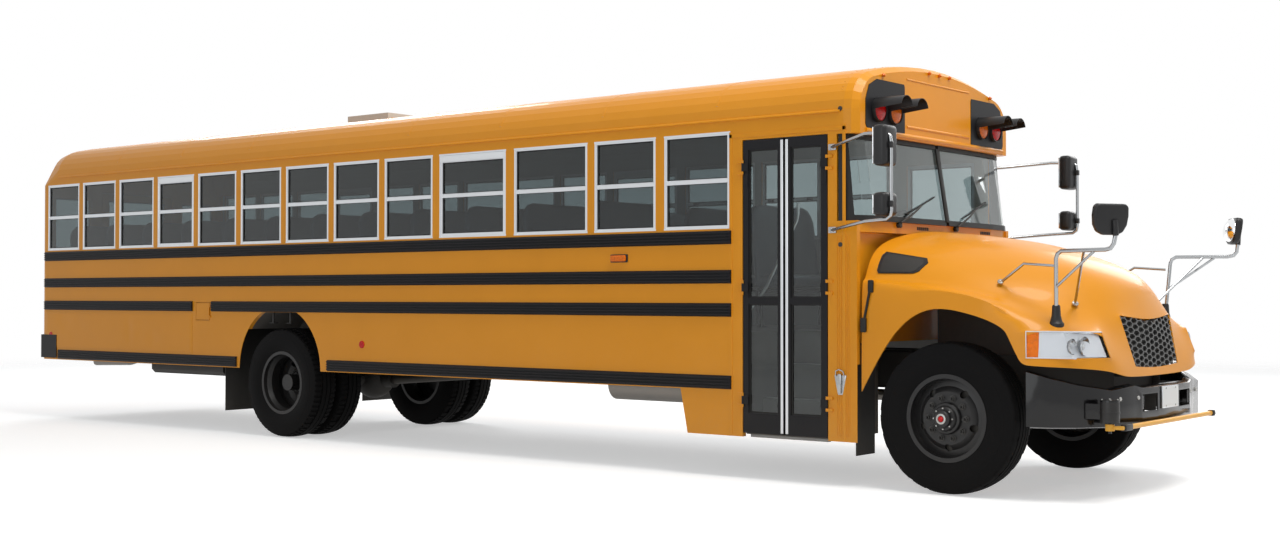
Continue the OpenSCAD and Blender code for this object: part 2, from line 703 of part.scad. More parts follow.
module rear_panel() difference() {
  union() {
    // Rounded corner posts
    both_sides() translate([rear_x + rear_corner_r, half_w - rear_corner_r, skirt_z]) difference() {
      cylinder(r = rear_corner_r, h = rear_cap_z - skirt_z, $fn = 64);
      translate([0, 0, -1]) cylinder(r = rear_corner_r - wall_t, h = rear_cap_z - skirt_z + 2, $fn = 64);
      translate([0, -200, -1]) cube([200, 400, 3000]);
      translate([-200, -200, -1]) cube([400, 200, 3000]);
    }
    box(rear_x, rear_x + wall_t, -half_w + rear_corner_r, half_w - rear_corner_r, skirt_z, rear_cap_z);
  }
  rear_opening(door_gap);
  both_sides() cross_sheet(rear_x - 10, wall_t + 20) {
    rect(620 * wide, 1060 * wide, rear_sill_z, 2480);
  }
}

// Opening of the rear emergency door
module rear_opening(g)
  box(rear_x - 10, rear_x + wall_t + 10, -rear_door_w / 2 - g, rear_door_w / 2 + g, rear_door_z0 - g, rear_door_z1 + g);

// Cowl: bulkhead, shelf below the windshield and the panels ahead of the doorway
module cowl() color("#f2a900") in_frame() {
  box(firewall_x - wall_t, firewall_x, -inner_w, inner_w, firewall_z, cowl_z - 80);
  for (z = [leaf_hinges_z[0], leaf_hinges_z[1]])
    translate([0, 0, z]) other_leaf() translate([leaf_x0, leaf_hinge_y, 0]) leaf_ears();
  translate([0, 0, cowl_z - 80]) linear_extrude(80) polygon([
    [firewall_x - wall_t, -inner_w], [cowl_panel_x - 15, -inner_w], [-650, -1060 * wide], [-618, -800 * wide],
    [-612, 0], [-618, 800 * wide], [-650, 1060 * wide], [cowl_panel_x - 15, inner_w], [firewall_x - wall_t, inner_w]
  ]);
  for (side = [0, 1]) mirror([0, side, 0]) {
    z0 = side == 1 ? 325 : skirt_z;
    difference() {
      side_sheet(inner_w, wall_t) polygon([
        [doorway_x1, z0], [cowl_panel_x + 10 * side - 10, z0], [cowl_panel_x, 700], [cowl_panel_x, cowl_z],
        [doorway_x1, cowl_z]
      ]);
      box(doorway_x1 + 10, cowl_panel_x + 20, inner_w - 1, half_w - skirt_t, 0, 880);
    }
  }
}

// Plan of the windshield's outer face at its foot and its head, from the centre to the left pillar
ws_foot = [[-589, 22], [-592, 400], [-600, 800], [-618, 1030], [-652, 1130], [-705, 1185], [pillar_x + 14, 1217]];
ws_head = [[-676, 22], [-678, 400], [-684, 800], [-698, 1030], [-722, 1130], [-756, 1185], [pillar_x + 14, 1217]];

// Point of the windshield at height z and column k
function ws_point(k, z) =
  let(t = (z - glass_z0) / (2495 - glass_z0), p = ws_foot[k] + (ws_head[k] - ws_foot[k]) * t)
  [p[0], p[1] * wide, z];

function ws_grid(rows, cols) = [for (z = rows) [for (k = cols) ws_point(k, z)]];

ws_face = ws_grid([cap_z, glass_z1, (glass_z0 + glass_z1) / 2, glass_z0, cowl_z], [0, 1, 2, 3, 4, 5, 6]);

// One pane of the windshield, and the frame round it, on the left
module ws_pane()
  sheet(part_of(inset_level(ws_face, 12), [1, 2, 3], [0:5], 0.995),
    part_of(inset_level(ws_face, 12 + glass_t), [1, 2, 3], [0:5], 0.995));

module ws_frame()
  sheet(ws_face, inset_level(ws_face, 30), [for (i = [1, 2], j = [0:4]) [i, j]]);

module windshield() color("#9fb2b8", 0.4) in_frame() {
  both_sides() ws_pane();
}

module windshield_frame() color("#111111") in_frame() {
  both_sides() ws_frame();
}

// Frame of one side window with its bar between the two sashes
module window_frame(x0, x1, exit) {
  bar = exit ? 34 : window_frame;
  mid = (sill_z + head_z) / 2 - 12;
  side_sheet(half_w - 38, 34) difference() {
    rect(x0, x1, sill_z, head_z);
    rect(x0 + bar, x1 - bar, sill_z + bar, mid);
    rect(x0 + bar, x1 - bar, mid + 26, head_z - bar - (exit ? 40 : 0));
  }
}

module window_panes(x0, x1, exit) {
  bar = exit ? 34 : window_frame;
  mid = (sill_z + head_z) / 2 - 12;
  side_sheet(half_w - 24, glass_t) {
    rect(x0 + bar, x1 - bar, sill_z + bar, mid);
    rect(x0 + bar, x1 - bar, mid + 26, head_z - bar - (exit ? 40 : 0));
  }
}

function is_exit(i) = len([for (e = exit_bays) if (e == i) 1]) > 0;

module window_frames() color("#c3c8cc") in_frame() {
  both_sides() for (i = [0:len(bays) - 1])
    window_frame(bays_x0 + bays[i][0] * bay_k, bays_x0 + (bays[i][0] + bays[i][1]) * bay_k, is_exit(i));
  // Driver's window
  side_sheet(half_w - 38, 34) difference() {
    rect(doorway_x0 + 60, doorway_x1 - 50, sill_z - 60, 2490);
    rect(doorway_x0 + 90, doorway_x1 - 80, sill_z - 30, 2460);
  }
}

module window_glass() color("#8d9a9c", 0.45) in_frame() {
  both_sides() for (i = [0:len(bays) - 1])
    window_panes(bays_x0 + bays[i][0] * bay_k, bays_x0 + (bays[i][0] + bays[i][1]) * bay_k, is_exit(i));
  side_sheet(half_w - 24, glass_t) rect(doorway_x0 + 90, doorway_x1 - 80, sill_z - 30, 2460);
  both_sides() cross_sheet(rear_x + 18, glass_t) rect(620 * wide, 1060 * wide, rear_sill_z, 2480);
}

// ---------------------------------------------------------------- doors

// Outline of the rear leaf of the entrance, and its two panes
leaf_x0 = doorway_x0 + door_gap;
leaf_x1 = leaf_mid_x - door_gap;

module leaf_panes() {
  rect(leaf_x0 + leaf_frame, leaf_x1 - leaf_frame, leaf_z0 + 150, leaf_mid_z - 22);
  rect(leaf_x0 + leaf_frame, leaf_x1 - leaf_frame, leaf_mid_z + 22, leaf_z1 - 70);
}

module leaf() {
  side_sheet(-half_w, leaf_t) difference() {
    rect(leaf_x0, leaf_x1, leaf_z0, leaf_z1);
    leaf_panes();
  }
  for (z = leaf_hinges_z) translate([leaf_x0, leaf_hinge_y, z]) hinge_eye(60, 8, 4, 50, 9);
}

module leaf_ears() hinge_ears(60, 8, 4, 50, 9);

module leaf_glass() side_sheet(-half_w + 16, glass_t) leaf_panes();

// Mirrored about the middle of the doorway
module other_leaf() translate([2 * leaf_mid_x, 0, 0]) mirror([1, 0, 0]) children();

module entrance_leaf_rear() color("#161616") in_frame() leaf();
module entrance_glass_rear() color("#8d9a9c", 0.45) in_frame() leaf_glass();
module entrance_leaf_front() color("#161616") in_frame() other_leaf() leaf();
module entrance_glass_front() color("#8d9a9c", 0.45) in_frame() other_leaf() leaf_glass();

// Rear emergency door, hinged at its right edge
module rear_door_panes() {
  w = rear_door_w / 2;
  rect(-w + 90, w - 90, rear_sill_z, rear_door_z1 - 80);
  rect(-w + 90, w - 90, 1290, 1720);
}

module rear_door() color("#f2a900") in_frame() {
  w = rear_door_w / 2;
  cross_sheet(rear_x, 40) difference() {
    rect(-w, w, rear_door_z0, rear_door_z1);
    rear_door_panes();
  }
  for (z = rear_hinges_z) translate([rear_x - 9, -w, z]) mirror([1, -1, 0]) hinge_eye(80, 8, 4, 60, 9);
  // Handle
  box(rear_x - 36, rear_x, w - 110, w - 90, 1770, 1800);
  box(rear_x - 44, rear_x - 36, w - 260, w - 90, 1770, 1800);
}

module rear_door_glass() color("#8d9a9c", 0.45) in_frame() cross_sheet(rear_x + 18, glass_t) rear_door_panes();

// ---------------------------------------------------------------- front end

// The hood's ribs from the rear edge to the lower front edge, left half. Each rib has one point a station.
rib_centre = [[-592, 0, 1858], [-300, 0, 1830], [90, 0, 1777], [330, 0, 1722], [560, 0, 1652], [760, 0, 1582],
  [880, 0, 1500], [955, 0, 1392], [1003, 0, 1190], [1040, 0, 862], [1061, 0, 814]];
rib_top = [[-598, 470, 1850], [-300, 470, 1822], [85, 470, 1766], [310, 470, 1706], [530, 470, 1634],
  [710, 465, 1560], [820, 460, 1478], [890, 462, 1375], [957, 470, 1236], [1044, 400, 885], [1057, 480, 818]];
rib_shoulder = [[-640, 1035, 1748], [-330, 990, 1680], [20, 935, 1600], [300, 890, 1517], [480, 840, 1455],
  [625, 775, 1395], [735, 715, 1325], [835, 670, 1254], [925, 650, 1180], [1048, 640, 925], [1056, 640, 828]];
rib_shelf = [[-648, 1125, 1492], [-340, 1100, 1468], [90, 1050, 1416], [290, 1005, 1366], [460, 965, 1328],
  [640, 915, 1262], [765, 875, 1205], [880, 835, 1160], [965, 800, 1128], [1030, 800, 957], [1040, 820, 872]];
rib_corner = [[-648, 1155, 1480], [-340, 1142, 1456], [90, 1118, 1407], [290, 1098, 1356], [440, 1082, 1316],
  [590, 1075, 1240], [690, 1070, 1192], [775, 1066, 1155], [840, 1060, 1132], [900, 1060, 957], [905, 1062, 893]];
rib_flare = [[-648, 1182, 1452], [-340, 1182, 1432], [90, 1182, 1396], [290, 1182, 1342], [400, 1182, 1300],
  [505, 1182, 1236], [560, 1182, 1188], [588, 1182, 1152], [600, 1182, 1133], [605, 1190, 957], [640, 1190, 905]];
rib_arch = [[-640, 1198, 690], [-386, 1198, 1140], [-113, 1198, 1310], [180, 1198, 1252], [340, 1198, 1204],
  [425, 1198, 1160], [447, 1198, 1142], [458, 1198, 1132], [470, 1198, 1118], [545, 1198, 965], [578, 1198, 913]];

hood_ribs = [rib_arch, rib_flare, rib_corner, rib_shelf, rib_shoulder, rib_top, rib_centre];
hood_rows = len(rib_centre);

// Grid of the whole hood: right arch, over the top, to the left arch
function hood_point(i, j) =
  let(k = j <= 6 ? j : 12 - j, s = j <= 6 ? -1 : 1, p = hood_ribs[k][i])
  [p[0], s * p[1] * wide, p[2]];
hood_grid = [for (i = [0:hood_rows - 1]) [for (j = [0:12]) hood_point(i, j)]];

hood_holes = concat([[8, 5], [8, 6]], [for (j = [1, 2, 9, 10]) [8, j]]);

module hood() color("#f2a900") in_frame() {
  sheet(hood_grid, hood_inner, hood_holes, 6);
}

// The hinge ears that turn on the bar behind the grille
module hood_hinges() color("#1b1b1b") in_frame() both_sides() difference() {
  union() {
    bar_y(hood_pivot[0], 280, 300, hood_pivot[2], 28);
    side_sheet(280, 20) polygon([[970, 832], [1043, 826], [1033, 848], [985, 874]]);
  }
  bar_y(hood_pivot[0], 270, 310, hood_pivot[2], hood_pin_r + bearing_play);
}

hood_inner = inset(hood_grid, hood_t);

module grille() color("#151515") in_frame() {
  sheet(part_of(inset(hood_grid, 3), [8, 9], [5, 6, 7], 0.996),
    part_of(inset(hood_grid, 24), [8, 9], [5, 6, 7], 0.996), [], 1);
}

module headlights() color("#d9dde0", 0.8) in_frame() both_sides()
  sheet(part_of(inset(hood_grid, 2), [8, 9], [9, 10, 11], 0.994),
    part_of(inset(hood_grid, 50), [8, 9], [9, 10, 11], 0.982));

// Point on the hood's skin in the triangle of corners a, b and c, and the skin's direction there
function hood_spot(tri, w) = hood_grid[tri[0][0]][tri[0][1]] * w[0] + hood_grid[tri[1][0]][tri[1][1]] * w[1]
  + hood_grid[tri[2][0]][tri[2][1]] * w[2];
function hood_up(tri) =
  let(a = hood_grid[tri[0][0]][tri[0][1]], b = hood_grid[tri[1][0]][tri[1][1]], c = hood_grid[tri[2][0]][tri[2][1]],
      n = unit(cross(b - a, c - a)))
  n[2] < 0 ? -n : n;

mirror_foot = [[6, 9], [6, 10], [7, 10]];
side_foot = [[3, 7], [3, 8], [4, 8]];
front_foot = [[5, 7], [5, 8], [6, 8]];

// A round foot standing on the hood
module hood_foot(tri, w, r) {
  n = hood_up(tri);
  rod(hood_spot(tri, w) + 0.3 * n, hood_spot(tri, w) + 10 * n, r);
}

module crossview_mirrors() color("#161616") in_frame() both_sides() {
  foot = hood_spot(mirror_foot, [0.12, 0.3, 0.58]) + 6 * hood_up(mirror_foot);
  side = hood_spot(side_foot, [0.45, 0.2, 0.35]) + 8 * hood_up(side_foot);
  front = hood_spot(front_foot, [0.45, 0.25, 0.3]) + 8 * hood_up(front_foot);
  post_top = [757, 1050 * wide, 1645];
  hood_foot(mirror_foot, [0.12, 0.3, 0.58], 26);
  hood_foot(side_foot, [0.45, 0.2, 0.35], 22);
  hood_foot(front_foot, [0.45, 0.25, 0.3], 22);
  tube([foot, post_top, [800, 1060 * wide, 1664], [1175, 1190 * wide, 1664], [1210, 1196 * wide, 1690],
    [1222, 1190 * wide, 1760]], 14);
  tube([side, [728, 1030 * wide, 1568]], 9, 10);
  tube([front, [752, 1040 * wide, 1590]], 9, 10);
  translate([1228, 1186 * wide, 1845]) scale([0.5, 0.72, 1]) sphere(r = 110, $fn = 32);
}

module side_mirrors() color("#161616") in_frame() both_sides() {
  y = half_w;
  for (z = [2425, 1829]) box(-890, -850, y, y + 12, z, z + 20);
  tube([[-870, y + 12, 2435], [-800, y + 60, 2440], [-420, y + 300, 2480], [-230, y + 320, 2470], [-200, y + 320, 2400],
    [-200, y + 320, 1950], [-230, y + 320, 1890], [-420, y + 290, 1880], [-800, y + 60, 1844], [-870, y + 12, 1839]], 12);
  box(-250, -150, y + 250, y + 390, 2257, 2530);
  box(-250, -150, y + 250, y + 390, 1920, 2070);
}

// Plan of the front bumper's face from the centre to the left end, with the height of its upper edge
bumper_line = [[1128, 0, 757], [1122, 205, 757], [1110, 450, 757], [1092, 540, 775], [1045, 820, 752],
  [900, 1030, 790], [760, 1130, 830], [600, 1180, 876]];
bumper_z0 = 490;

function bumper_column(k) =
  let(p = bumper_line[k], q = bumper_line[min(k + 1, 7)], o = bumper_line[max(k - 1, 0)],
      n = unit([q[1] - o[1], -(q[0] - o[0])]), x = p[0], y = p[1], z1 = p[2], back = 55)
  [for (e = [[-back, z1], [0, z1 - 12], [0, 700], [0, 585], [0, bumper_z0 + 12], [-back, bumper_z0]])
    [x + e[0] * n[0], (y + e[0] * n[1]) * wide, e[1]]];

bumper_grid = [for (r = [0:5]) [for (j = [-7:7])
  let(p = bumper_column(abs(j))[r]) [p[0], (j < 0 ? -1 : 1) * abs(p[1]), p[2]]]];

module front_bumper() color("#141414") in_frame() {
  sheet(bumper_grid, inset(bumper_grid, bumper_t), [[2, 5], [2, 8]], 7);
  // Brackets to the frame
  both_sides() box(bumper_bracket_x, 1106, rail_y - 20, rail_y + 40, 600, 690);
  // Licence plate, blank
  box(1118, 1136, -152, 152, 590, 740);
  // Crossing arm's drive and its bracket
  box(930, 1060, arm_hinge[1] - 35, arm_hinge[1] + 35, 560, 660);
  translate([arm_hinge[0], arm_hinge[1], arm_z + 30]) cylinder(r = 62, h = 150, $fn = 48);
  translate([arm_hinge[0], arm_hinge[1], arm_z - 40]) cylinder(r = 10, h = 80, $fn = 32);
}

module crossing_arm() color("#f0b400") in_frame() {
  x = arm_hinge[0];
  y = arm_hinge[1];
  difference() {
    union() {
      translate([x, y, arm_z - 22]) cylinder(r = 30, h = 44, $fn = 32);
      box(x + 18, arm_x + 12, y - 10, y + 14, arm_z - 12, arm_z + 12);
      bar_y(arm_x, y + 2, y + crossing_arm_l, arm_z, 11);
      // Round plate at the free end
      box(arm_x - 13, arm_x + 13, y + crossing_arm_l - 70, y + crossing_arm_l + 4, arm_z - 17, arm_z + 17);
    }
    translate([x, y, arm_z - 60]) cylinder(r = 10 + bearing_play, h = 120, $fn = 32);
  }
}

module rear_bumper() color("#141414") in_frame() {
  z0 = 673;
  z1 = 930;
  translate([0, 0, z0]) linear_extrude(z1 - z0) polygon([
    [rear_x - 70, -half_w + 130], [rear_x - 70, half_w - 130], [rear_x - 20, half_w - 30], [rear_x + 30, half_w + 10],
    [rear_x + 340, half_w + 10], [rear_x + 340, half_w + 2], [rear_x + 32, half_w + 2], [rear_x - 14, half_w - 38],
    [rear_x - 62, half_w - 132], [rear_x - 62, -half_w + 132], [rear_x - 14, -half_w + 38], [rear_x + 32, -half_w - 2],
    [rear_x + 340, -half_w - 2], [rear_x + 340, -half_w - 10], [rear_x + 30, -half_w - 10], [rear_x - 20, -half_w + 30]
  ]);
  both_sides() box(rear_x - 66, rear_x, 300, 330, z0 + 20, z1 - 20);
}

// One rub rail with two grooves along it
module rub_rail(x0, x1, z) difference() {
  box(x0, x1, half_w, half_w + rail_d, z, z + rail_h);
  for (k = [1, 2]) box(x0 - 1, x1 + 1, half_w + rail_d - 8, half_w + rail_d + 1,
    z + k * rail_h / 3 - 7, z + k * rail_h / 3 + 7);
}

module rub_rails() color("#171717") in_frame() for (side = [0, 1]) mirror([0, side, 0]) {
  front_x = side == 1 ? doorway_x0 - 100 : doorway_x1 - 40;
  for (z = upper_rails_z)
    if (side == 1 && z < fuel_z + fuel_h / 2) {
      rub_rail(rear_x + rear_corner_r, fuel_x - fuel_w / 2 - 55, z);
      rub_rail(fuel_x + fuel_w / 2 + 35, front_x, z);
    } else rub_rail(rear_x + rear_corner_r, front_x, z);
  rub_rail(rear_x + 380, -wheelbase - 655, skirt_rail_z);
  rub_rail(-wheelbase + 720, front_x, skirt_rail_z);
}

module mudflaps() color("#121212") in_frame() both_sides() {
  box(-712, -704, 905 * wide, 1160 * wide, 225, firewall_z);
  box(-wheelbase - 878, -wheelbase - 870, 600, 1190 * wide, 220, floor_z - floor_t);
}

// Eight warning lamps in black panels, four at each end
module warning_lamps() color("#8d1b12") in_frame() {
  both_sides() for (y = [706, 934] * wide) {
    translate([cap_face_x - 10.7, y, roof_z - 405]) rotate([0, 90, 0]) cylinder(r = 90, h = 28, $fn = 48);
    translate([rear_x - 0.3, y, roof_z - 415]) rotate([0, -90, 0]) cylinder(r = 90, h = 28, $fn = 48);
  }
}

// ---------------------------------------------------------------- stop arm, hatch and fuel door

module stop_arm() color("#b01116") in_frame() {
  w = stop_sign_w;
  translate([stop_hinge_x - w / 2 - 60, stop_hinge_y + 4, stop_z]) rotate([90, 0, 0]) rotate(22.5)
    cylinder(r = w / 2 / cos(22.5), h = 8, $fn = 8);
  difference() {
    union() {
      translate([stop_hinge_x, stop_hinge_y, stop_z - 110]) cylinder(r = 16, h = 220, $fn = 32);
      box(stop_hinge_x - 90, stop_hinge_x - 12, stop_hinge_y - 3, stop_hinge_y + 3, stop_z - 80, stop_z + 80);
    }
    translate([stop_hinge_x, stop_hinge_y, stop_z - 120]) cylinder(r = stop_pin_r + bearing_play, h = 240, $fn = 32);
  }
}

module roof_hatch() color("#e9e7df") in_frame() difference() {
  union() {
    difference() {
      box(hatch_x0, hatch_x1, -hatch_w / 2, hatch_w / 2, roof_z + 8, roof_z + 68);
      box(hatch_x0 + 12, hatch_x1 - 12, -hatch_w / 2 + 12, hatch_w / 2 - 12, roof_z, roof_z + 56);
    }
    both_sides() box(hatch_x1 - 2, hatch_hinge[0] + 9, 150, 180, hatch_hinge[2] - 6, hatch_hinge[2] + 9);
  }
  bar_y(hatch_hinge[0], -hatch_w / 2, hatch_w / 2, hatch_hinge[2], hatch_pin_r + bearing_play);
}

module fuel_door() color("#f2a900") in_frame() {
  g = fuel_gap;
  box(fuel_x - fuel_w / 2 + g, fuel_x + fuel_w / 2 - g, -half_w, -half_w + 6, fuel_z - fuel_h / 2 + g, fuel_z + fuel_h / 2 - g);
  translate([fuel_x + fuel_w / 2 - g, -half_w - 7, fuel_z - 40]) mirror([1, 0, 0]) hinge_eye(80, 6, 3, 22, 7);
}

// ---------------------------------------------------------------- inside

// A bench on the left with its back at x, facing forward
module bench(x) {
  y0 = inner_w - bench_w;
  box(x, x + 400, y0, inner_w, floor_z + 330, floor_z + 450);
  side_back = [[x, floor_z + 330], [x + 90, floor_z + 330], [x - 10, floor_z + 1060], [x - 90, floor_z + 1060]];
  side_sheet(y0, bench_w) polygon(side_back);
  box(x + 40, x + 380, y0 + 20, y0 + 45, floor_z, floor_z + 330);
}

module seats() color("#3a3f4a") in_frame() {
  for (k = [0:left_benches - 1]) bench(bench_x0 + k * bench_pitch);
  mirror([0, 1, 0]) for (k = [0:right_benches - 1]) bench(bench_x0 + k * bench_pitch);
}

module driver_seat() color("#2c2e33") in_frame() {
  y0 = 350;
  y1 = 850;
  x = -1930;
  box(x, x + 440, y0, y1, floor_z + 330, floor_z + 430);
  side_sheet(y0, y1 - y0) polygon([[x, floor_z + 330], [x + 90, floor_z + 330], [x, floor_z + 1060], [x - 80, floor_z + 1060]]);
  box(x + 80, x + 360, 450, 750, floor_z, floor_z + 330);
}

module dashboard() color("#2e2e2e") in_frame() {
  side_sheet(-250, 1400 * wide) polygon([
    [firewall_x - wall_t, 1250], [firewall_x - wall_t, cowl_z - 20], [-960, cowl_z - 60], [-1040, 1700], [-1000, 1500],
    [-985, 1250]
  ]);
  // Steering column
  rod(steer_hub - 640 * steer_axis, steer_hub - 40 * steer_axis, 24);
}

module steering_wheel() color("#1a1a1a") in_frame() translate(steer_hub) rotate([0, -steer_tilt, 0]) {
  rotate_extrude($fn = 64) translate([225, 0]) circle(r = 15, $fn = 24);
  translate([0, 0, -39.7]) cylinder(r = 38, h = 50, $fn = 32);
  for (a = [90, 210, 330]) rotate(a) translate([20, -12, -8]) cube([195, 24, 12]);
}

frame_rails();
cross_members();
body_sills();
tow_eyes();
front_axle();
rear_axle();
leaf_springs();
driveshaft();
engine_block();
radiator();
fuel_tank();
exhaust();
knuckle_right();
knuckle_left();
tyre_front_right();
tyre_front_left();
rim_front_right();
rim_front_left();
tyres_rear_right();
tyres_rear_left();
rims_rear_right();
rims_rear_left();
floor();
side_wall_right();
side_wall_left();
roof();
front_cap();
rear_cap();
rear_wall();
cowl();
windshield();
windshield_frame();
window_frames();
window_glass();
entrance_leaf_front();
entrance_leaf_rear();
entrance_glass_front();
entrance_glass_rear();
rear_door();
rear_door_glass();
hood();
hood_hinges();
grille();
headlights();
crossview_mirrors();
side_mirrors();
front_bumper();
rear_bumper();
rub_rails();
mudflaps();
warning_lamps();
stop_arm();
crossing_arm();
roof_hatch();
fuel_door();
seats();
driver_seat();
dashboard();
steering_wheel();
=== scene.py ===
"""Looks of the school bus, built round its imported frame."""

import json
import math

import bmesh
import bpy
import numpy as np
from bpy.props import BoolProperty, FloatProperty, FloatVectorProperty, IntProperty, PointerProperty
from mathutils import Matrix, Vector
from mathutils.bvhtree import BVHTree


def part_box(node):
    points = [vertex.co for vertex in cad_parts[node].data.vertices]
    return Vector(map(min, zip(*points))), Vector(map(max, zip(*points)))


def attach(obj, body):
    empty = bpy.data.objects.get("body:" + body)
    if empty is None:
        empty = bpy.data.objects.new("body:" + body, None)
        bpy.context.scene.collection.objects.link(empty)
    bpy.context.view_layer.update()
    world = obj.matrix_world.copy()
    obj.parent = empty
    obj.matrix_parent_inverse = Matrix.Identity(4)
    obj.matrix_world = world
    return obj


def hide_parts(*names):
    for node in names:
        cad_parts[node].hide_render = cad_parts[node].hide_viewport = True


bl_info = {
    "name": "School bus looks",
    "version": (1, 0, 0),
    "blender": (4, 5, 0),
    "location": "View3D > Sidebar > Bus",
    "description": "Adds paint, trim, tyres, lamps, seats and a stage to the bus frame",
    "category": "Object",
}

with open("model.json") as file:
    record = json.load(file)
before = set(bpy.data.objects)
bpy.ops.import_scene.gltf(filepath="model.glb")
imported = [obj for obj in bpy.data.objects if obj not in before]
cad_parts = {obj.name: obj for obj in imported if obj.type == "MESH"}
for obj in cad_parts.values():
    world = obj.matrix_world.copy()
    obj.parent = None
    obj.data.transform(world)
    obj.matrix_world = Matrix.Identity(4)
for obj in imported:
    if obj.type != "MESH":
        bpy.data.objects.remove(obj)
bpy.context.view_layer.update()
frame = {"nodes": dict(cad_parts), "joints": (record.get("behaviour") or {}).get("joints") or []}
JOINTS = {j["name"]: j for j in frame["joints"]}
FRONT_X = JOINTS["roll_front_right"]["pos_m"][0]
REAR_X = JOINTS["roll_rear_right"]["pos_m"][0]
AXLE_Z = JOINTS["roll_front_right"]["pos_m"][2]
SIDE_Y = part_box("rear_wall")[1].y
BACK_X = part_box("rear_cap")[0].x
NUT_CIRCLE = 0.142875  # radius of the circle on which the wheel nuts sit
AHEAD = 8  # x of a point well in front of the bus
ASIDE = 1.5  # y of a point outside the body's side
ABOVE = 3.6  # z of a point well over the roof


# ------------------------------------------------------------------ settings

def colour_prop(name, description, default):
    return FloatVectorProperty(
        name=name, description=description, subtype="COLOR", size=3, min=0, max=1, default=default)


def length_prop(name, description, default, low, high):
    return FloatProperty(name=name, description=description, default=default, min=low, max=high, unit="LENGTH")


class PaintSettings(bpy.types.PropertyGroup):
    body: colour_prop("Body yellow", "Colour of the body", (0.76, 0.29, 0.006))
    black: colour_prop("Trim black", "Colour of rails, doors and bumpers", (0.012, 0.012, 0.014))
    lining: colour_prop("Cabin lining", "Colour of walls and ceiling inside", (0.42, 0.43, 0.42))
    vinyl: colour_prop("Seat vinyl", "Colour of the bench covers", (0.035, 0.06, 0.1))
    dust: colour_prop("Road dust", "Colour of dust low on the bus", (0.33, 0.27, 0.19))
    dust_amount: FloatProperty(
        name="Dust amount", description="How much dust lies low on the bus", default=0.35, min=0, max=1)


class WheelSettings(bpy.types.PropertyGroup):
    grooves_depth: length_prop("Groove depth", "Depth of the tread's grooves", 0.012, 0.003, 0.02)
    lugs: IntProperty(name="Lugs", description="Number of tread lugs round a driven tyre", default=64, min=24, max=90)
    nut_size: length_prop("Nut size", "Width of a wheel nut", 0.033, 0.02, 0.04)


class TrimSettings(bpy.types.PropertyGroup):
    rib_depth: length_prop("Rib depth", "Depth of the rub rails' ribs", 0.009, 0.002, 0.014)
    rivet: length_prop("Rivet radius", "Radius of a rivet's head", 0.0065, 0.003, 0.01)
    wiper: length_prop("Wiper length", "Length of a wiper blade", 0.5, 0.3, 0.6)


class SeatSettings(bpy.types.PropertyGroup):
    corner: length_prop("Corner radius", "Radius of a seat back's upper corners", 0.16, 0.05, 0.25)
    puff: BoolProperty(name="Fill the cushions", description="Fill the cushions by cloth simulation", default=True)


class StageSettings(bpy.types.PropertyGroup):
    floor: colour_prop("Floor", "Colour of the floor", (0.8, 0.8, 0.8))
    sky: FloatProperty(
        name="Sky light", description="Strength of the soft light all round", default=0.37, min=0, max=3)
    key: FloatProperty(
        name="Key light", description="Power of the overhead lamp in watts", default=1350, min=0, max=9000)


SETTINGS = (
    ("bus_paint", PaintSettings), ("bus_wheels", WheelSettings), ("bus_trim", TrimSettings),
    ("bus_seats", SeatSettings), ("bus_stage", StageSettings),
)


def paint_values():
    return bpy.context.scene.bus_paint


# ------------------------------------------------------------------ modelling

def fresh():
    """Object mode with nothing selected."""
    if bpy.context.object is not None and bpy.context.object.mode != "OBJECT":
        bpy.ops.object.mode_set(mode="OBJECT")
    bpy.ops.object.select_all(action="DESELECT")


def pick(*objects):
    """Select these objects alone, the last one active."""
    fresh()
    for o in objects:
        o.select_set(True)
    bpy.context.view_layer.objects.active = objects[-1]
    return objects[-1]


def settle(obj):
    """Put the object's place, turn and size into its mesh."""
    pick(obj)
    bpy.ops.object.transform_apply(location=True, rotation=True, scale=True)
    return obj


def modified(obj, kind, **values):
    """Add one modifier with these settings and apply it."""
    m = obj.modifiers.new(kind.lower(), kind)
    for key, v in values.items():
        setattr(m, key, v)
    pick(obj)
    bpy.ops.object.modifier_apply(modifier=m.name)
    return obj


def rounded(obj, width, segments=2, angle=35):
    """Bevel the sharp edges."""
    if width > 0:
        modified(obj, "BEVEL", width=width, segments=segments, limit_method="ANGLE", angle_limit=math.radians(angle),
                 harden_normals=False)
    return obj


def thickened(obj, thickness):
    return modified(obj, "SOLIDIFY", thickness=thickness, offset=0)


def edit(obj, select="SELECT"):
    """Edit mode on the object, with all selected."""
    pick(obj)
    bpy.ops.object.mode_set(mode="EDIT")
    bpy.ops.mesh.select_all(action=select)


def extrude(step):
    bpy.ops.mesh.extrude_region_move(TRANSFORM_OT_translate={"value": Vector(step)})


def close_mesh():
    """Turn all faces outward and leave edit mode."""
    bpy.ops.mesh.select_all(action="SELECT")
    bpy.ops.mesh.normals_make_consistent(inside=False)
    bpy.ops.object.mode_set(mode="OBJECT")


def halved(obj, point, normal, **how):
    """Cut the mesh along a plane."""
    edit(obj)
    bpy.ops.mesh.bisect(plane_co=point, plane_no=normal, **how)
    bpy.ops.object.mode_set(mode="OBJECT")
    return obj


def open_ring(obj, wide, step):
    """Keep the border of a flat face, as wide as asked, and give it depth."""
    edit(obj)
    bpy.ops.mesh.inset(thickness=wide)
    bpy.ops.mesh.delete(type="FACE")
    bpy.ops.mesh.select_all(action="SELECT")
    extrude(step)
    close_mesh()
    return obj


def add(primitive, stretch=None, **values):
    """A primitive mesh, made by its operator, with place, turn and size settled."""
    fresh()
    primitive(**values)
    if stretch is not None:
        bpy.context.object.scale = stretch
    return settle(bpy.context.object)


def block(lo, hi, width=0.004, segments=2):
    """A box between two corners with rounded edges."""
    lo, hi = Vector(lo), Vector(hi)
    return rounded(add(bpy.ops.mesh.primitive_cube_add, size=1, location=(lo + hi) / 2, scale=hi - lo), width, segments)


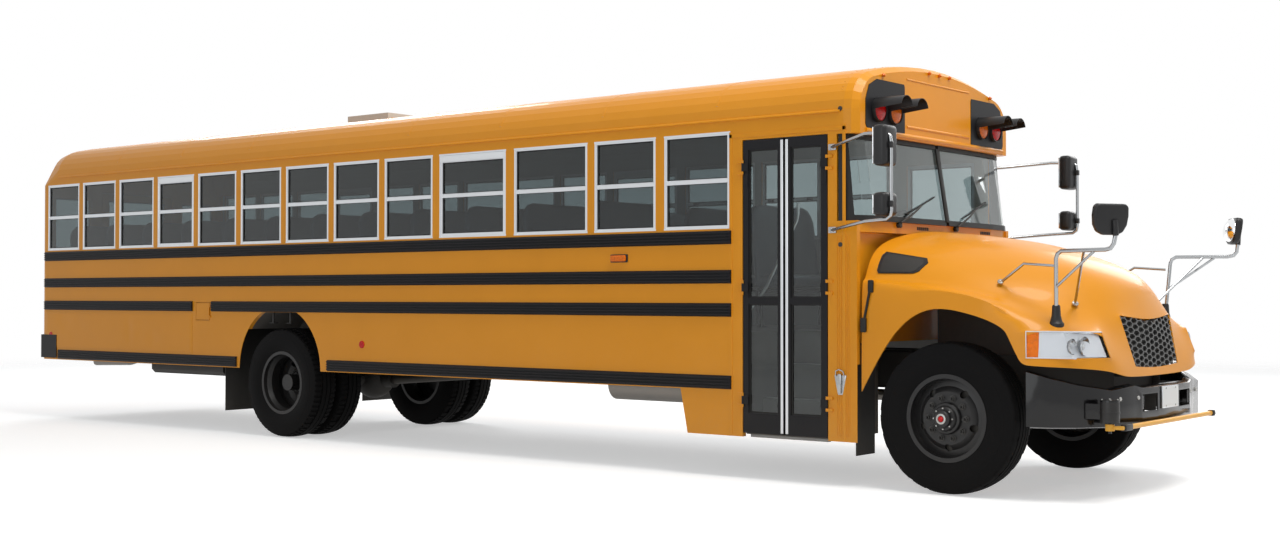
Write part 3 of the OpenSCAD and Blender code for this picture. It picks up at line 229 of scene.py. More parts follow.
def bar(a, b, radius, sides=24, width=0.0):
    """A round bar from a to b."""
    a, b = Vector(a), Vector(b)
    obj = add(bpy.ops.mesh.primitive_cylinder_add, vertices=sides, radius=radius, depth=(b - a).length,
              location=(a + b) / 2, rotation=(b - a).to_track_quat("Z", "Y").to_euler())
    return rounded(obj, width)


def trail(points, closed=False):
    """An edge line through the points, drawn by extruding one vertex. Ends in edit mode with all selected."""
    add(bpy.ops.mesh.primitive_plane_add, size=0.001, location=points[0])
    bpy.ops.object.mode_set(mode="EDIT")
    bpy.ops.mesh.select_mode(type="VERT")
    bpy.ops.mesh.select_all(action="SELECT")
    bpy.ops.mesh.merge(type="CENTER")
    for a, b in zip(points, points[1:]):
        extrude(Vector(b) - Vector(a))
    bpy.ops.mesh.select_all(action="SELECT")
    if closed:
        bpy.ops.mesh.edge_face_add()
    return bpy.context.object


def sheet_of(points, depth, width=0.0, segments=2):
    """A plate with this outline, thickened by the vector depth."""
    obj = trail(points, closed=True)
    extrude(depth)
    close_mesh()
    return rounded(obj, width, segments)


def lathe(profile, centre, axis, steps=48):
    """Spin a profile of (distance along the axis, radius) round the axis through centre."""
    centre, axis = Vector(centre), Vector(axis).normalized()
    side = axis.orthogonal().normalized() if abs(axis.z) > 0.9 else Vector((0, 0, 1))
    obj = trail([centre + axis * a + side * r for a, r in profile])
    bpy.ops.mesh.spin(steps=steps, angle=2 * math.pi, center=centre, axis=axis)
    bpy.ops.mesh.select_all(action="SELECT")
    bpy.ops.mesh.remove_doubles(threshold=0.00002)
    close_mesh()
    return obj


def pipe(points, radius, sides=3):
    """A round tube along the points with closed ends."""
    obj = trail(points)
    bpy.ops.object.mode_set(mode="OBJECT")
    pick(obj)
    bpy.ops.object.convert(target="CURVE")
    curve = obj.data
    curve.bevel_depth, curve.bevel_resolution, curve.use_fill_caps = radius, sides, True
    bpy.ops.object.convert(target="MESH")
    obj = bpy.context.object
    edit(obj)
    bpy.ops.mesh.remove_doubles(threshold=0.00001)
    close_mesh()
    return obj


def own_copy(obj):
    """A copy with its own mesh and no record of riding."""
    new = obj.copy()
    new.data = obj.data.copy()
    bpy.context.scene.collection.objects.link(new)
    for key in [k for k in new.keys() if k.startswith("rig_")]:
        del new[key]
    return new


def copy_of(obj, move=(0, 0, 0), flip_y=False, turn=None):
    """A copy that is moved, mirrored across the bus, or turned by a matrix."""
    new = own_copy(obj)
    if turn is not None:
        new.data.transform(turn)
    if flip_y:
        new.data.transform(Matrix.Diagonal((1, -1, 1, 1)))
        new.data.flip_normals()
    new.data.transform(Matrix.Translation(move))
    return new


def about(point, angle, axis):
    """Matrix that turns by degrees round an axis through a point."""
    p = Matrix.Translation(point)
    return p @ Matrix.Rotation(math.radians(angle), 4, Vector(axis)) @ p.inverted()


def join(parts):
    """One object out of a list of parts. A single object stays as it is."""
    if isinstance(parts, bpy.types.Object):
        return parts
    pick(*parts)
    if len(parts) > 1:
        bpy.ops.object.join()
    return bpy.context.object


def both(parts):
    """The parts and their mirror image across the bus, as one."""
    obj = join(parts)
    return join([copy_of(obj, flip_y=True), obj])


def row(obj, count, step):
    """A row of copies at a constant step, as one."""
    if count > 1:
        modified(obj, "ARRAY", count=count, use_relative_offset=False, use_constant_offset=True,
                 constant_offset_displace=step)
    return obj


def ring_of(parts, count, centre, axis):
    """Copies turned round an axis, as one."""
    made = [copy_of(parts, turn=about(centre, 360 * k / count, axis)) for k in range(1, count)]
    return join(made + [parts])


def hug(obj, node, offset, backward):
    """Lay a thin sheet on the surface of a node, along the X axis."""
    return modified(obj, "SHRINKWRAP", target=frame["nodes"][node], wrap_method="PROJECT", offset=offset,
                    use_project_x=True, use_project_y=False, use_project_z=False,
                    use_negative_direction=backward, use_positive_direction=not backward)


def finish_piece(parts, name, material, body="root", smooth=35):
    """Name the piece, give it its material and smooth shading, and let it ride."""
    obj = pick(join(parts))
    material = MATERIALS[material]
    obj.name = obj.data.name = name
    obj.data.materials.clear()
    obj.data.materials.append(material)
    if smooth:
        bpy.ops.object.shade_smooth_by_angle(angle=math.radians(smooth))
    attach(obj, body)
    return obj


def solid_boxes(node):
    """Lowest and highest corner of each loose solid of a node."""
    mesh = frame["nodes"][node].data
    co = np.zeros(len(mesh.vertices) * 3)
    mesh.vertices.foreach_get("co", co)
    points = co.reshape(-1, 3)
    keys, index = np.unique(np.round(points * 20000).astype(np.int64), axis=0, return_inverse=True)
    index = index.reshape(-1)
    label = np.arange(len(keys))
    edges = np.zeros(len(mesh.edges) * 2, np.int64)
    mesh.edges.foreach_get("vertices", edges)
    pairs = index[edges.reshape(-1, 2)]
    while True:
        low = np.minimum(label[pairs[:, 0]], label[pairs[:, 1]])
        new = label.copy()
        np.minimum.at(new, pairs[:, 0], low)
        np.minimum.at(new, pairs[:, 1], low)
        new = new[new]
        if (new == label).all():
            break
        label = new
    home = label[index]
    boxes = [(Vector(points[home == g].min(0)), Vector(points[home == g].max(0))) for g in np.unique(home)]
    return sorted(boxes, key=lambda b: (round(b[0].y, 2), round(b[0].x, 3), b[0].z))


# ------------------------------------------------------------------ materials

def shader_group(name, inputs, outputs):
    """A node group with named sockets. Returns the group, its input node and its output node."""
    g = bpy.data.node_groups.new(name, "ShaderNodeTree")
    for label, kind, value in inputs:
        s = g.interface.new_socket(name=label, in_out="INPUT", socket_type=kind)
        s.default_value = value
    for label, kind in outputs:
        g.interface.new_socket(name=label, in_out="OUTPUT", socket_type=kind)
    return g, g.nodes.new("NodeGroupInput"), g.nodes.new("NodeGroupOutput")


def feed(tree, socket, v):
    """Link an output to the socket, or give the socket a value of its own."""
    if isinstance(v, bpy.types.NodeSocket):
        tree.links.new(v, socket)
    else:
        socket.default_value = (*v[:3], 1) if isinstance(v, (tuple, list)) else v


def math_node(tree, kind, a, b, clamp=False):
    n = tree.nodes.new("ShaderNodeMath")
    n.operation, n.use_clamp = kind, clamp
    feed(tree, n.inputs[0], a)
    feed(tree, n.inputs[1], b)
    return n.outputs[0]


def put(node, **values):
    """Give sockets their own values, by name."""
    for key, v in values.items():
        node.inputs[key.replace("_", " ")].default_value = v
    return node


def bump(tree, height, strength, distance, shader):
    """Let a height disturb the shader's normal."""
    node = put(tree.nodes.new("ShaderNodeBump"), Strength=strength, Distance=distance)
    tree.links.new(height, node.inputs["Height"])
    tree.links.new(node.outputs["Normal"], shader.inputs["Normal"])


def noise_node(tree, vector, scale, detail=2, roughness=0.5):
    n = put(tree.nodes.new("ShaderNodeTexNoise"), Detail=detail, Roughness=roughness)
    feed(tree, n.inputs["Vector"], vector)
    feed(tree, n.inputs["Scale"], scale)
    return n.outputs["Fac"]


def mix_colour(tree, factor, a, b):
    n = tree.nodes.new("ShaderNodeMix")
    n.data_type = "RGBA"
    for k, v in ((0, factor), (6, a), (7, b)):
        feed(tree, n.inputs[k], v)
    return n.outputs[2]


def dust_group():
    """Road dust that thickens towards the ground, in soft patches with fine specks."""
    g, a, z = shader_group(
        "road_dust",
        [("Colour", "NodeSocketColor", (0.5, 0.5, 0.5, 1)), ("Dust", "NodeSocketColor", (0.3, 0.25, 0.2, 1)),
         ("Amount", "NodeSocketFloat", 0.3), ("Top", "NodeSocketFloat", 1.4), ("Roughness", "NodeSocketFloat", 0.3),
         ("Tone", "NodeSocketFloat", 0.05)],
        [("Colour", "NodeSocketColor"), ("Roughness", "NodeSocketFloat")])
    place = g.nodes.new("ShaderNodeTexCoord").outputs["Object"]
    split = g.nodes.new("ShaderNodeSeparateXYZ")
    g.links.new(place, split.inputs[0])
    patches = noise_node(g, place, 2.2, 5, 0.62)
    fine = noise_node(g, place, 38.0, 3, 0.6)
    up = math_node(g, "DIVIDE", split.outputs["Z"], a.outputs["Top"])
    low = math_node(g, "POWER", math_node(g, "SUBTRACT", 1.0, up, clamp=True), 1.4)
    cover = math_node(g, "MULTIPLY", math_node(g, "ADD", low, 0.1), math_node(g, "MULTIPLY", patches, 1.7))
    speck = math_node(g, "MULTIPLY", cover, math_node(g, "ADD", math_node(g, "MULTIPLY", fine, 0.8), 0.5))
    mask = math_node(g, "MULTIPLY", speck, a.outputs["Amount"], clamp=True)
    tone = math_node(g, "MULTIPLY", math_node(g, "SUBTRACT", patches, 0.5), a.outputs["Tone"])
    toned = g.nodes.new("ShaderNodeHueSaturation")
    g.links.new(a.outputs["Colour"], toned.inputs["Color"])
    g.links.new(math_node(g, "ADD", tone, 1.0), toned.inputs["Value"])
    g.links.new(mix_colour(g, mask, toned.outputs[0], a.outputs["Dust"]), z.inputs["Colour"])
    rough = math_node(g, "ADD", a.outputs["Roughness"], math_node(g, "MULTIPLY", mask, 0.55), clamp=True)
    g.links.new(math_node(g, "ADD", rough, math_node(g, "MULTIPLY", tone, 0.6), clamp=True), z.inputs["Roughness"])
    return g


def grain_group():
    """Fine grain and long waves, as a height for a Bump node."""
    g, a, z = shader_group(
        "surface_grain",
        [("Scale", "NodeSocketFloat", 300.0), ("Grain", "NodeSocketFloat", 0.3), ("Wave", "NodeSocketFloat", 0.5),
         ("Wave scale", "NodeSocketFloat", 1.6)],
        [("Height", "NodeSocketFloat")])
    place = g.nodes.new("ShaderNodeTexCoord").outputs["Object"]
    grain = math_node(g, "MULTIPLY", noise_node(g, place, a.outputs["Scale"], 2), a.outputs["Grain"])
    wave = math_node(g, "MULTIPLY", noise_node(g, place, a.outputs["Wave scale"], 1), a.outputs["Wave"])
    g.links.new(math_node(g, "ADD", grain, wave), z.inputs["Height"])
    return g


def lining_group():
    """Mask of the faces that look into the cabin, from where they are and the way they face."""
    g, a, z = shader_group(
        "cabin_side", [("Up weight", "NodeSocketFloat", 1.0), ("Middle", "NodeSocketFloat", 1.8)],
        [("Mask", "NodeSocketFloat")])
    place = g.nodes.new("ShaderNodeSeparateXYZ")
    g.links.new(g.nodes.new("ShaderNodeTexCoord").outputs["Object"], place.inputs[0])
    facing = g.nodes.new("ShaderNodeSeparateXYZ")
    g.links.new(g.nodes.new("ShaderNodeNewGeometry").outputs["True Normal"], facing.inputs[0])
    across = math_node(g, "MULTIPLY", place.outputs["Y"], facing.outputs["Y"])
    height = math_node(g, "SUBTRACT", place.outputs["Z"], a.outputs["Middle"])
    up = math_node(g, "MULTIPLY", math_node(g, "MULTIPLY", height, facing.outputs["Z"]), a.outputs["Up weight"])
    g.links.new(math_node(g, "LESS_THAN", math_node(g, "ADD", across, up), -0.25), z.inputs["Mask"])
    return g


GROUPS = {}


def group(name):
    makers = {"dust": dust_group, "grain": grain_group, "lining": lining_group}
    if name not in GROUPS:
        GROUPS[name] = makers[name]()
    return GROUPS[name]


def place_group(tree, name, **values):
    n = tree.nodes.new("ShaderNodeGroup")
    n.node_tree = group(name)
    for key, v in values.items():
        feed(tree, n.inputs[key.replace("_", " ")], v)
    return n


def plain_material(name, slot):
    m = bpy.data.materials.new(name)
    m.use_nodes = True
    m["slot"] = slot
    return m, m.node_tree, m.node_tree.nodes["Principled BSDF"]


def finish_material(name, slot, colour, rough, metal=0.0, dust=0.2, top=1.4, tone=0.08, grain=0.3, scale=300.0,
                    wave=0.0, wave_scale=1.6, relief=0.1, distance=0.001, lined=None, **sockets):
    """A painted, moulded or metal finish with dust, tone and grain. lined is the weight of up for the cabin side."""
    m, tree, shader = plain_material(name, slot)
    p = paint_values()
    paint = colour
    if lined is not None:
        paint = mix_colour(tree, place_group(tree, "lining", Up_weight=lined).outputs["Mask"], colour, tuple(p.lining))
    dusty = place_group(tree, "dust", Colour=paint, Dust=tuple(p.dust), Amount=dust * p.dust_amount / 0.35, Top=top,
                        Roughness=rough, Tone=tone)
    tree.links.new(dusty.outputs["Colour"], shader.inputs["Base Color"])
    tree.links.new(dusty.outputs["Roughness"], shader.inputs["Roughness"])
    if relief:
        height = place_group(tree, "grain", Scale=scale, Grain=grain, Wave=wave, Wave_scale=wave_scale)
        bump(tree, height.outputs["Height"], relief, distance, shader)
    put(shader, Metallic=metal, **sockets)
    return m


def glass_material(name, slot, colour, ior):
    """Tinted glass."""
    m, _, shader = plain_material(name, slot)
    put(shader, Base_Color=(*colour, 1), Roughness=0.02, Transmission_Weight=1.0, IOR=ior)
    return m


def lens_material(name, slot, colour, prisms):
    """Coloured lens with fine prisms."""
    m, tree, shader = plain_material(name, slot)
    cells = put(tree.nodes.new("ShaderNodeTexVoronoi"), Scale=prisms)
    tree.links.new(tree.nodes.new("ShaderNodeTexCoord").outputs["Object"], cells.inputs["Vector"])
    dark = tuple(c * 0.55 for c in colour)
    tree.links.new(mix_colour(tree, cells.outputs["Distance"], colour, dark), shader.inputs["Base Color"])
    bump(tree, cells.outputs["Distance"], 0.35, 0.002, shader)
    put(shader, Roughness=0.2, Specular_IOR_Level=0.25)
    return m


PAINT = dict(dust=0.16, top=1.5, tone=0.12, relief=0.12, distance=0.004, grain=0.02, scale=420.0, wave=0.9,
             wave_scale=2.1, Coat_Weight=0.14, Coat_Roughness=0.04, Specular_IOR_Level=0.2)

# Each finish: name of the material, slot, colour or the setting that holds it, roughness, and what differs
FINISHES = {
    "paint": ("body_paint", "yellow_paint", "body", 0.36, PAINT),
    "paint_lined": ("body_paint_lined", "yellow_paint", "body", 0.36, {**PAINT, "lined": 0.0}),
    "paint_roof": ("roof_paint", "yellow_paint", "body", 0.36, {**PAINT, "dust": 0.08, "top": 9.0, "lined": 1.0}),
    "black": ("trim_black", "black_paint", "black", 0.4, dict(
        dust=0.03, top=1.5, relief=0.15, grain=0.2, scale=240.0, Coat_Weight=0.0, Specular_IOR_Level=0.14)),
    "black_gloss": ("gloss_black", "black_paint", (0.004, 0.004, 0.005), 0.14, dict(
        dust=0.02, top=0.9, relief=0.05, wave=0.5, Coat_Weight=0.12, Specular_IOR_Level=0.3)),
    "chassis": ("chassis_black", "chassis_black", (0.009, 0.009, 0.009), 0.62, dict(
        dust=0.14, top=1.2, tone=0.3, relief=0.35, grain=0.6, scale=160.0)),
    "steel_dark": ("dark_steel", "dark_steel", (0.03, 0.029, 0.028), 0.55, dict(
        metal=0.5, dust=0.25, top=1.1, tone=0.4, relief=0.5, grain=0.7, scale=120.0)),
    "spring": ("spring_steel", "spring_steel", (0.03, 0.028, 0.026), 0.5, dict(
        metal=0.6, dust=0.6, top=1.1, tone=0.4, relief=0.3)),
    "iron": ("engine_iron", "engine_iron", (0.05, 0.05, 0.05), 0.6, dict(
        metal=0.3, dust=0.4, relief=0.5, grain=0.8, scale=90.0)),
    "radiator": ("radiator_fins", "radiator_black", (0.02, 0.02, 0.02), 0.55, dict(
        metal=0.4, dust=0.3, relief=0.6, grain=0.9, scale=700.0)),
    "exhaust": ("exhaust_steel", "exhaust_steel", (0.2, 0.19, 0.18), 0.42, dict(
        metal=0.85, dust=0.35, tone=0.5, relief=0.3, grain=0.4, scale=60.0)),
    "rubber": ("tyre_rubber", "tyre", (0.0035, 0.0035, 0.004), 0.78, dict(
        dust=0.01, top=1.6, tone=0.25, relief=0.35, grain=0.5, scale=420.0, Specular_IOR_Level=0.1)),
    "rim": ("rim_black", "rim_black", (0.008, 0.008, 0.009), 0.42, dict(
        dust=0.03, top=1.4, tone=0.3, relief=0.2, grain=0.4, scale=200.0, Coat_Weight=0.05, Specular_IOR_Level=0.35)),
    "flap": ("flap_rubber", "flap_rubber", (0.009, 0.009, 0.009), 0.68, dict(
        dust=0.08, top=1.0, relief=0.4, grain=0.6, scale=260.0)),
    "seal": ("seal_rubber", "seal_rubber", (0.008, 0.008, 0.008), 0.55, dict(
        dust=0.04, relief=0.2, Specular_IOR_Level=0.3)),
    "plastic": ("black_plastic", "black_plastic", (0.009, 0.009, 0.01), 0.4, dict(
        dust=0.04, relief=0.3, grain=0.5, scale=520.0, Specular_IOR_Level=0.35)),
    "dash": ("grey_plastic", "grey_plastic", (0.06, 0.062, 0.065), 0.55, dict(
        dust=0.1, relief=0.4, grain=0.7, scale=480.0)),
    "floor": ("floor_rubber", "floor_rubber", (0.05, 0.05, 0.052), 0.6, dict(
        dust=0.3, top=3.0, relief=0.3, grain=0.5, scale=260.0)),
    "aluminium": ("window_aluminium", "window_aluminium", (0.62, 0.64, 0.66), 0.3, dict(
        metal=0.9, dust=0.1, tone=0.12, relief=0.08, grain=0.4, scale=700.0)),
    "chrome": ("mirror_chrome", "bright_steel", (0.36, 0.37, 0.38), 0.2, dict(
        metal=1.0, dust=0.06, tone=0.1, relief=0.04)),
    "zinc": ("zinc_steel", "bright_steel", (0.42, 0.42, 0.41), 0.38, dict(metal=0.9, dust=0.2, tone=0.3, relief=0.15)),
    "step": ("step_grey", "floor_rubber", (0.3, 0.3, 0.3), 0.5, dict(dust=0.3, relief=0.2, grain=0.4, scale=200.0)),
    "hatch": ("hatch_white", "hatch_white", (0.62, 0.6, 0.55), 0.35, dict(dust=0.3, top=9.0, tone=0.1)),
    "vinyl": ("seat_vinyl", "seat_vinyl", "vinyl", 0.42, dict(
        dust=0.05, tone=0.15, relief=0.45, grain=0.9, scale=330.0, distance=0.0012, Sheen_Weight=0.1)),
    "cloth": ("seat_cloth", "seat_fabric", (0.03, 0.032, 0.038), 0.85, dict(
        dust=0.1, tone=0.2, relief=0.6, grain=1.0, scale=900.0, Sheen_Weight=0.4)),
    "sign_red": ("sign_red", "sign_red", (0.5, 0.012, 0.012), 0.35, dict(
        dust=0.08, relief=0.25, grain=0.6, scale=900.0)),
    "sign_white": ("sign_white", "plate_white", (0.78, 0.78, 0.77), 0.35, dict(
        dust=0.08, relief=0.2, grain=0.5, scale=900.0)),
    "arm": ("arm_yellow", "arm_yellow", (0.85, 0.4, 0.012), 0.35, dict(dust=0.25, top=1.0, tone=0.2)),
    "grey": ("hub_grey", "dark_steel", (0.03, 0.03, 0.03), 0.5, dict(metal=0.3, dust=0.08, relief=0.2)),
    "grille": ("grille_grey", "grey_plastic", (0.1, 0.1, 0.1), 0.4, dict(metal=0.3, dust=0.08, scale=500.0)),
    "silver": ("lamp_silver", "bright_steel", (0.62, 0.64, 0.67), 0.3, dict(
        metal=0.55, dust=0.0, relief=0.05, grain=0.2, scale=200.0)),
    "mirror": ("mirror_glass", "mirror_glass", (0.85, 0.86, 0.87), 0.03, dict(metal=1.0, dust=0.0, relief=0.0)),
}

# Name of the material, slot, colour, and index of refraction
GLASSES = {
    "glass_dark": ("window_tint", "glass", (0.24, 0.29, 0.3), 1.45),
    "glass_clear": ("windshield_glass", "glass", (0.86, 0.94, 0.93), 1.45),
    "glass_door": ("door_glass", "glass", (0.62, 0.68, 0.68), 1.45),
    "cover": ("clear_cover", "lens_clear", (0.9, 0.92, 0.94), 1.1),
}

# Name of the material, slot, colour, and how fine the prisms are
LENSES = {
    "red": ("lens_red", "lens_red", (0.72, 0.006, 0.006), 90),
    "amber": ("lens_amber", "lens_amber", (0.95, 0.2, 0.004), 90),
    "white_lens": ("lens_clear", "lens_clear", (0.75, 0.77, 0.8), 60),
}

MATERIALS = {}


def make_materials():
    """All finishes of the bus, by name."""
    for key, (name, slot, colour, rough, values) in FINISHES.items():
        if isinstance(colour, str):
            colour = tuple(getattr(paint_values(), colour))
        MATERIALS[key] = finish_material(name, slot, colour, rough, **values)
    for key, values in GLASSES.items():
        MATERIALS[key] = glass_material(*values)
    for key, values in LENSES.items():
        MATERIALS[key] = lens_material(*values)


NODE_FINISH = {
    "paint": ("cowl", "front_cap", "rear_cap", "rear_wall", "rear_door", "fuel_door", "hood"),
    "paint_lined": ("side_wall_right", "side_wall_left"),
    "paint_roof": ("roof",),
    "black": ("rub_rails", "rear_bumper", "entrance_leaf_front", "entrance_leaf_rear"),
    "black_gloss": ("front_bumper",),
    "chassis": ("frame_rails", "cross_members", "body_sills", "tow_eyes", "front_axle", "rear_axle", "fuel_tank",
                "hood_hinges"),
    "spring": ("leaf_springs",),
    "steel_dark": ("driveshaft", "knuckle_right", "knuckle_left"),
    "iron": ("engine_block",),
    "radiator": ("radiator",),
    "exhaust": ("exhaust",),
    "rubber": ("tyre_front_right", "tyre_front_left", "tyres_rear_right", "tyres_rear_left"),
    "rim": ("rim_front_right", "rim_front_left", "rims_rear_right", "rims_rear_left"),
    "flap": ("mudflaps",),
    "seal": ("windshield_frame",),
    "plastic": ("grille", "crossview_mirrors", "side_mirrors", "steering_wheel"),
    "dash": ("dashboard",),
    "floor": ("floor",),
    "aluminium": ("window_frames",),
    "hatch": ("roof_hatch",),
    "vinyl": ("seats",),
    "cloth": ("driver_seat",),
    "sign_red": ("stop_arm",),
    "arm": ("crossing_arm",),
    "glass_dark": ("window_glass", "rear_door_glass"),
    "glass_clear": ("windshield",),
    "glass_door": ("entrance_glass_front", "entrance_glass_rear"),
    "red": ("warning_lamps",),
    "white_lens": ("headlights",),
}


class BUS_OT_finishes(bpy.types.Operator):
    """Give every carried-over part its finish"""
    bl_idname = "bus.finishes"
    bl_label = "Finishes"

    def execute(self, context):
        make_materials()
        for finish, nodes in NODE_FINISH.items():
            for node in nodes:
                mesh = frame["nodes"][node].data
                mesh.materials.clear()
                mesh.materials.append(MATERIALS[finish])
        return {"FINISHED"}


# ------------------------------------------------------------------ stage

class BUS_OT_stage(bpy.types.Operator):
    """Add the floor, the lights and the camera"""
    bl_idname = "bus.stage"
    bl_label = "Stage"

    def execute(self, context):
        self.floor()
        self.light()
        self.camera()
        return {"FINISHED"}

    def floor(self):
        fresh()
        bpy.ops.mesh.primitive_plane_add(size=260, location=(0, 0, 0))
        floor = bpy.context.object
        floor.name = "stage_floor"
        m, tree, shader = plain_material("floor_white", "stage")
        put(shader, Base_Color=(*bpy.context.scene.bus_stage.floor, 1), Roughness=0.9, Specular_IOR_Level=0.1,
            Emission_Color=(1, 1, 1, 1))
        lift = math_node(tree, "MULTIPLY", self.background_rays(tree), 0.45)
        tree.links.new(lift, shader.inputs["Emission Strength"])
        far = tree.nodes.new("ShaderNodeVectorMath")
        far.operation = "LENGTH"
        tree.links.new(tree.nodes.new("ShaderNodeTexCoord").outputs["Object"], far.inputs[0])
        fade = tree.nodes.new("ShaderNodeMapRange")
        fade.interpolation_type = "SMOOTHSTEP"
        put(fade, From_Min=11.0, From_Max=24.0, To_Min=1.0, To_Max=0.0)
        tree.links.new(far.outputs["Value"], fade.inputs["Value"])
        tree.links.new(fade.outputs["Result"], shader.inputs["Alpha"])
        floor.data.materials.append(m)

    def background_rays(self, tree):
        """1 for the rays that show the background: seen, mirrored or through glass."""
        path = tree.nodes.new("ShaderNodeLightPath")
        mirrored = math_node(tree, "MAXIMUM", path.outputs["Is Glossy Ray"], path.outputs["Is Transmission Ray"])
        return math_node(tree, "MAXIMUM", path.outputs["Is Camera Ray"], mirrored)

    def light(self):
        s = bpy.context.scene.bus_stage
        world = bpy.data.worlds.new("soft_room")
        bpy.context.scene.world = world
        world.use_nodes = True
        tree = world.node_tree
        tree.nodes.clear()
        out = tree.nodes.new("ShaderNodeOutputWorld")
        soft = put(tree.nodes.new("ShaderNodeBackground"), Color=(0.94, 0.97, 1.0, 1), Strength=s.sky)
        seen = put(tree.nodes.new("ShaderNodeBackground"), Color=(1, 1, 1, 1), Strength=1.0)
        pick_one = tree.nodes.new("ShaderNodeMixShader")
        tree.links.new(self.background_rays(tree), pick_one.inputs[0])
        tree.links.new(soft.outputs[0], pick_one.inputs[1])
        tree.links.new(seen.outputs[0], pick_one.inputs[2])
        tree.links.new(pick_one.outputs[0], out.inputs[0])
        for name, place, aim, size, power, colour in (
                ("key", (9, -2, 13), (1, 0, 1.5), 7.0, s.key, (1, 0.98, 0.94)),
                ("fill", (4, -15, 5), (0, 0, 1.4), 9.0, s.key * 0.2, (0.95, 0.98, 1)),
                ("back", (-13, 8, 9), (-3, 0, 1.5), 7.0, s.key * 0.5, (1, 1, 1)),
                ("left", (4, 14, 8), (0, 0, 1.5), 7.0, s.key * 0.4, (1, 1, 1))):
            fresh()
            bpy.ops.object.light_add(type="AREA", location=place)
            lamp = bpy.context.object
            lamp.name = "light_" + name
            lamp.data.shape, lamp.data.size = "DISK", size
            lamp.data.energy, lamp.data.color = power, colour
            lamp.rotation_euler = (Vector(aim) - Vector(place)).to_track_quat("-Z", "Y").to_euler()

    def camera(self):
        data = bpy.data.cameras.new("view")
        camera = bpy.data.objects.new("view", data)
        bpy.context.scene.collection.objects.link(camera)
        data.sensor_width, data.lens = 36.0, 43.94
        data.shift_x, data.shift_y = -0.0087, 0.003
        data.clip_end = 400
        camera.location = (FRONT_X + 5.0752, -10.8206, 1.3696)
        camera.rotation_euler = (math.radians(90.924), 0, math.radians(38.374))
        bpy.context.scene.camera = camera
        bpy.context.scene.view_settings.view_transform = "Standard"


# ------------------------------------------------------------------ wheels

TREES = {}


def meet(node, start, direction):
    """Where a straight line from start first meets the node, or None."""
    if node not in TREES:
        mesh = frame["nodes"][node].data
        TREES[node] = BVHTree.FromPolygons([v.co for v in mesh.vertices], [p.vertices for p in mesh.polygons])
    return TREES[node].ray_cast(Vector(start), Vector(direction))[0]


def surface(node, start, direction):
    """Where a straight line from start first meets the node. It has to meet it."""
    place = meet(node, start, direction)
    if place is None:
        raise RuntimeError("nothing of %s lies that way" % node)
    return place


def on_front(node, y, z):
    """The point of a node that is seen from straight ahead at y and z."""
    return surface(node, (AHEAD, y, z), (-1, 0, 0))


def on_roof(x, y):
    return surface("roof", (x, y, ABOVE), (0, 0, -1))


def span_of(obj):
    """Lowest and highest corner of a mesh."""
    points = [v.co for v in obj.data.vertices]
    return (Vector([min(p[i] for p in points) for i in range(3)]),
            Vector([max(p[i] for p in points) for i in range(3)]))


def tyre_profile(width, outer, grooves, depth):
    """Closed outline of a tyre: sidewalls, tread with grooves, and the inside."""
    w = width / 2
    half = [(0.70, 0.548), (0.79, 0.556), (0.83, 0.575), (0.90, 0.615), (0.965, 0.67), (0.985, 0.70), (1.0, 0.745),
            (0.998, 0.80), (0.985, 0.83), (0.975, 0.833), (0.965, 0.868), (0.925, 0.905), (0.90, 0.938),
            (0.885, 0.958), (0.855, 0.972), (0.80, 0.981)]
    side = [(-w * a, outer * r) for a, r in half]
    tread = []
    for g, wide in grooves:
        tread += [(g - wide / 2, 0.0), (g - wide * 0.28, depth), (g + wide * 0.28, depth), (g + wide / 2, 0.0)]
    crown = []
    for a, d in tread:
        drop = 0.019 * outer * (abs(a) / (0.8 * w)) ** 2
        crown.append((a, outer - drop - d))
    inside = [(w * 0.70, outer * 0.58), (w * 0.84, outer * 0.66), (w * 0.9, outer * 0.76), (w * 0.8, outer * 0.88),
              (0.0, outer * 0.93), (-w * 0.8, outer * 0.88), (-w * 0.9, outer * 0.76), (-w * 0.84, outer * 0.66),
              (-w * 0.70, outer * 0.58)]
    loop = side + crown + [(-a, r) for a, r in reversed(side)] + inside
    return loop + [loop[0]]


def tyre(centre, width, outer, driven):
    """A tyre about the Y axis. A driven one has lugs, a steered one has ribs."""
    s = bpy.context.scene.bus_wheels
    grooves = [(-0.063, 0.012), (-0.022, 0.012), (0.022, 0.012), (0.063, 0.012)]
    if driven:
        grooves = [(-0.05, 0.014), (0.0, 0.01), (0.05, 0.014)]
    steps = s.lugs * 2 if driven else 96
    obj = lathe(tyre_profile(width, outer, grooves, s.grooves_depth), centre, (0, 1, 0), steps)
    edit(obj, "DESELECT")
    mesh = bmesh.from_edit_mesh(obj.data)
    edge = 0.079 if not driven else 0.058
    every = 2 if driven else 4
    for f in mesh.faces:
        p = f.calc_center_median() - Vector(centre)
        turn = math.atan2(p.x, p.z) / (2 * math.pi) * steps
        shift = 0.5 if (not driven or p.y > 0) else 1.5
        on_tread = math.hypot(p.x, p.z) > outer * 0.958 and abs(p.y) > edge and abs(p.y) < width * 0.47
        f.select = on_tread and int(math.floor(turn + shift)) % every == 0 and f.normal.dot(Vector((p.x, 0, p.z))) > 0
    bmesh.update_edit_mesh(obj.data)
    bpy.ops.mesh.extrude_region_shrink_fatten(
        TRANSFORM_OT_shrink_fatten={"value": s.grooves_depth * (-0.8 if driven else -0.25)})
    bpy.ops.object.mode_set(mode="OBJECT")
    return obj


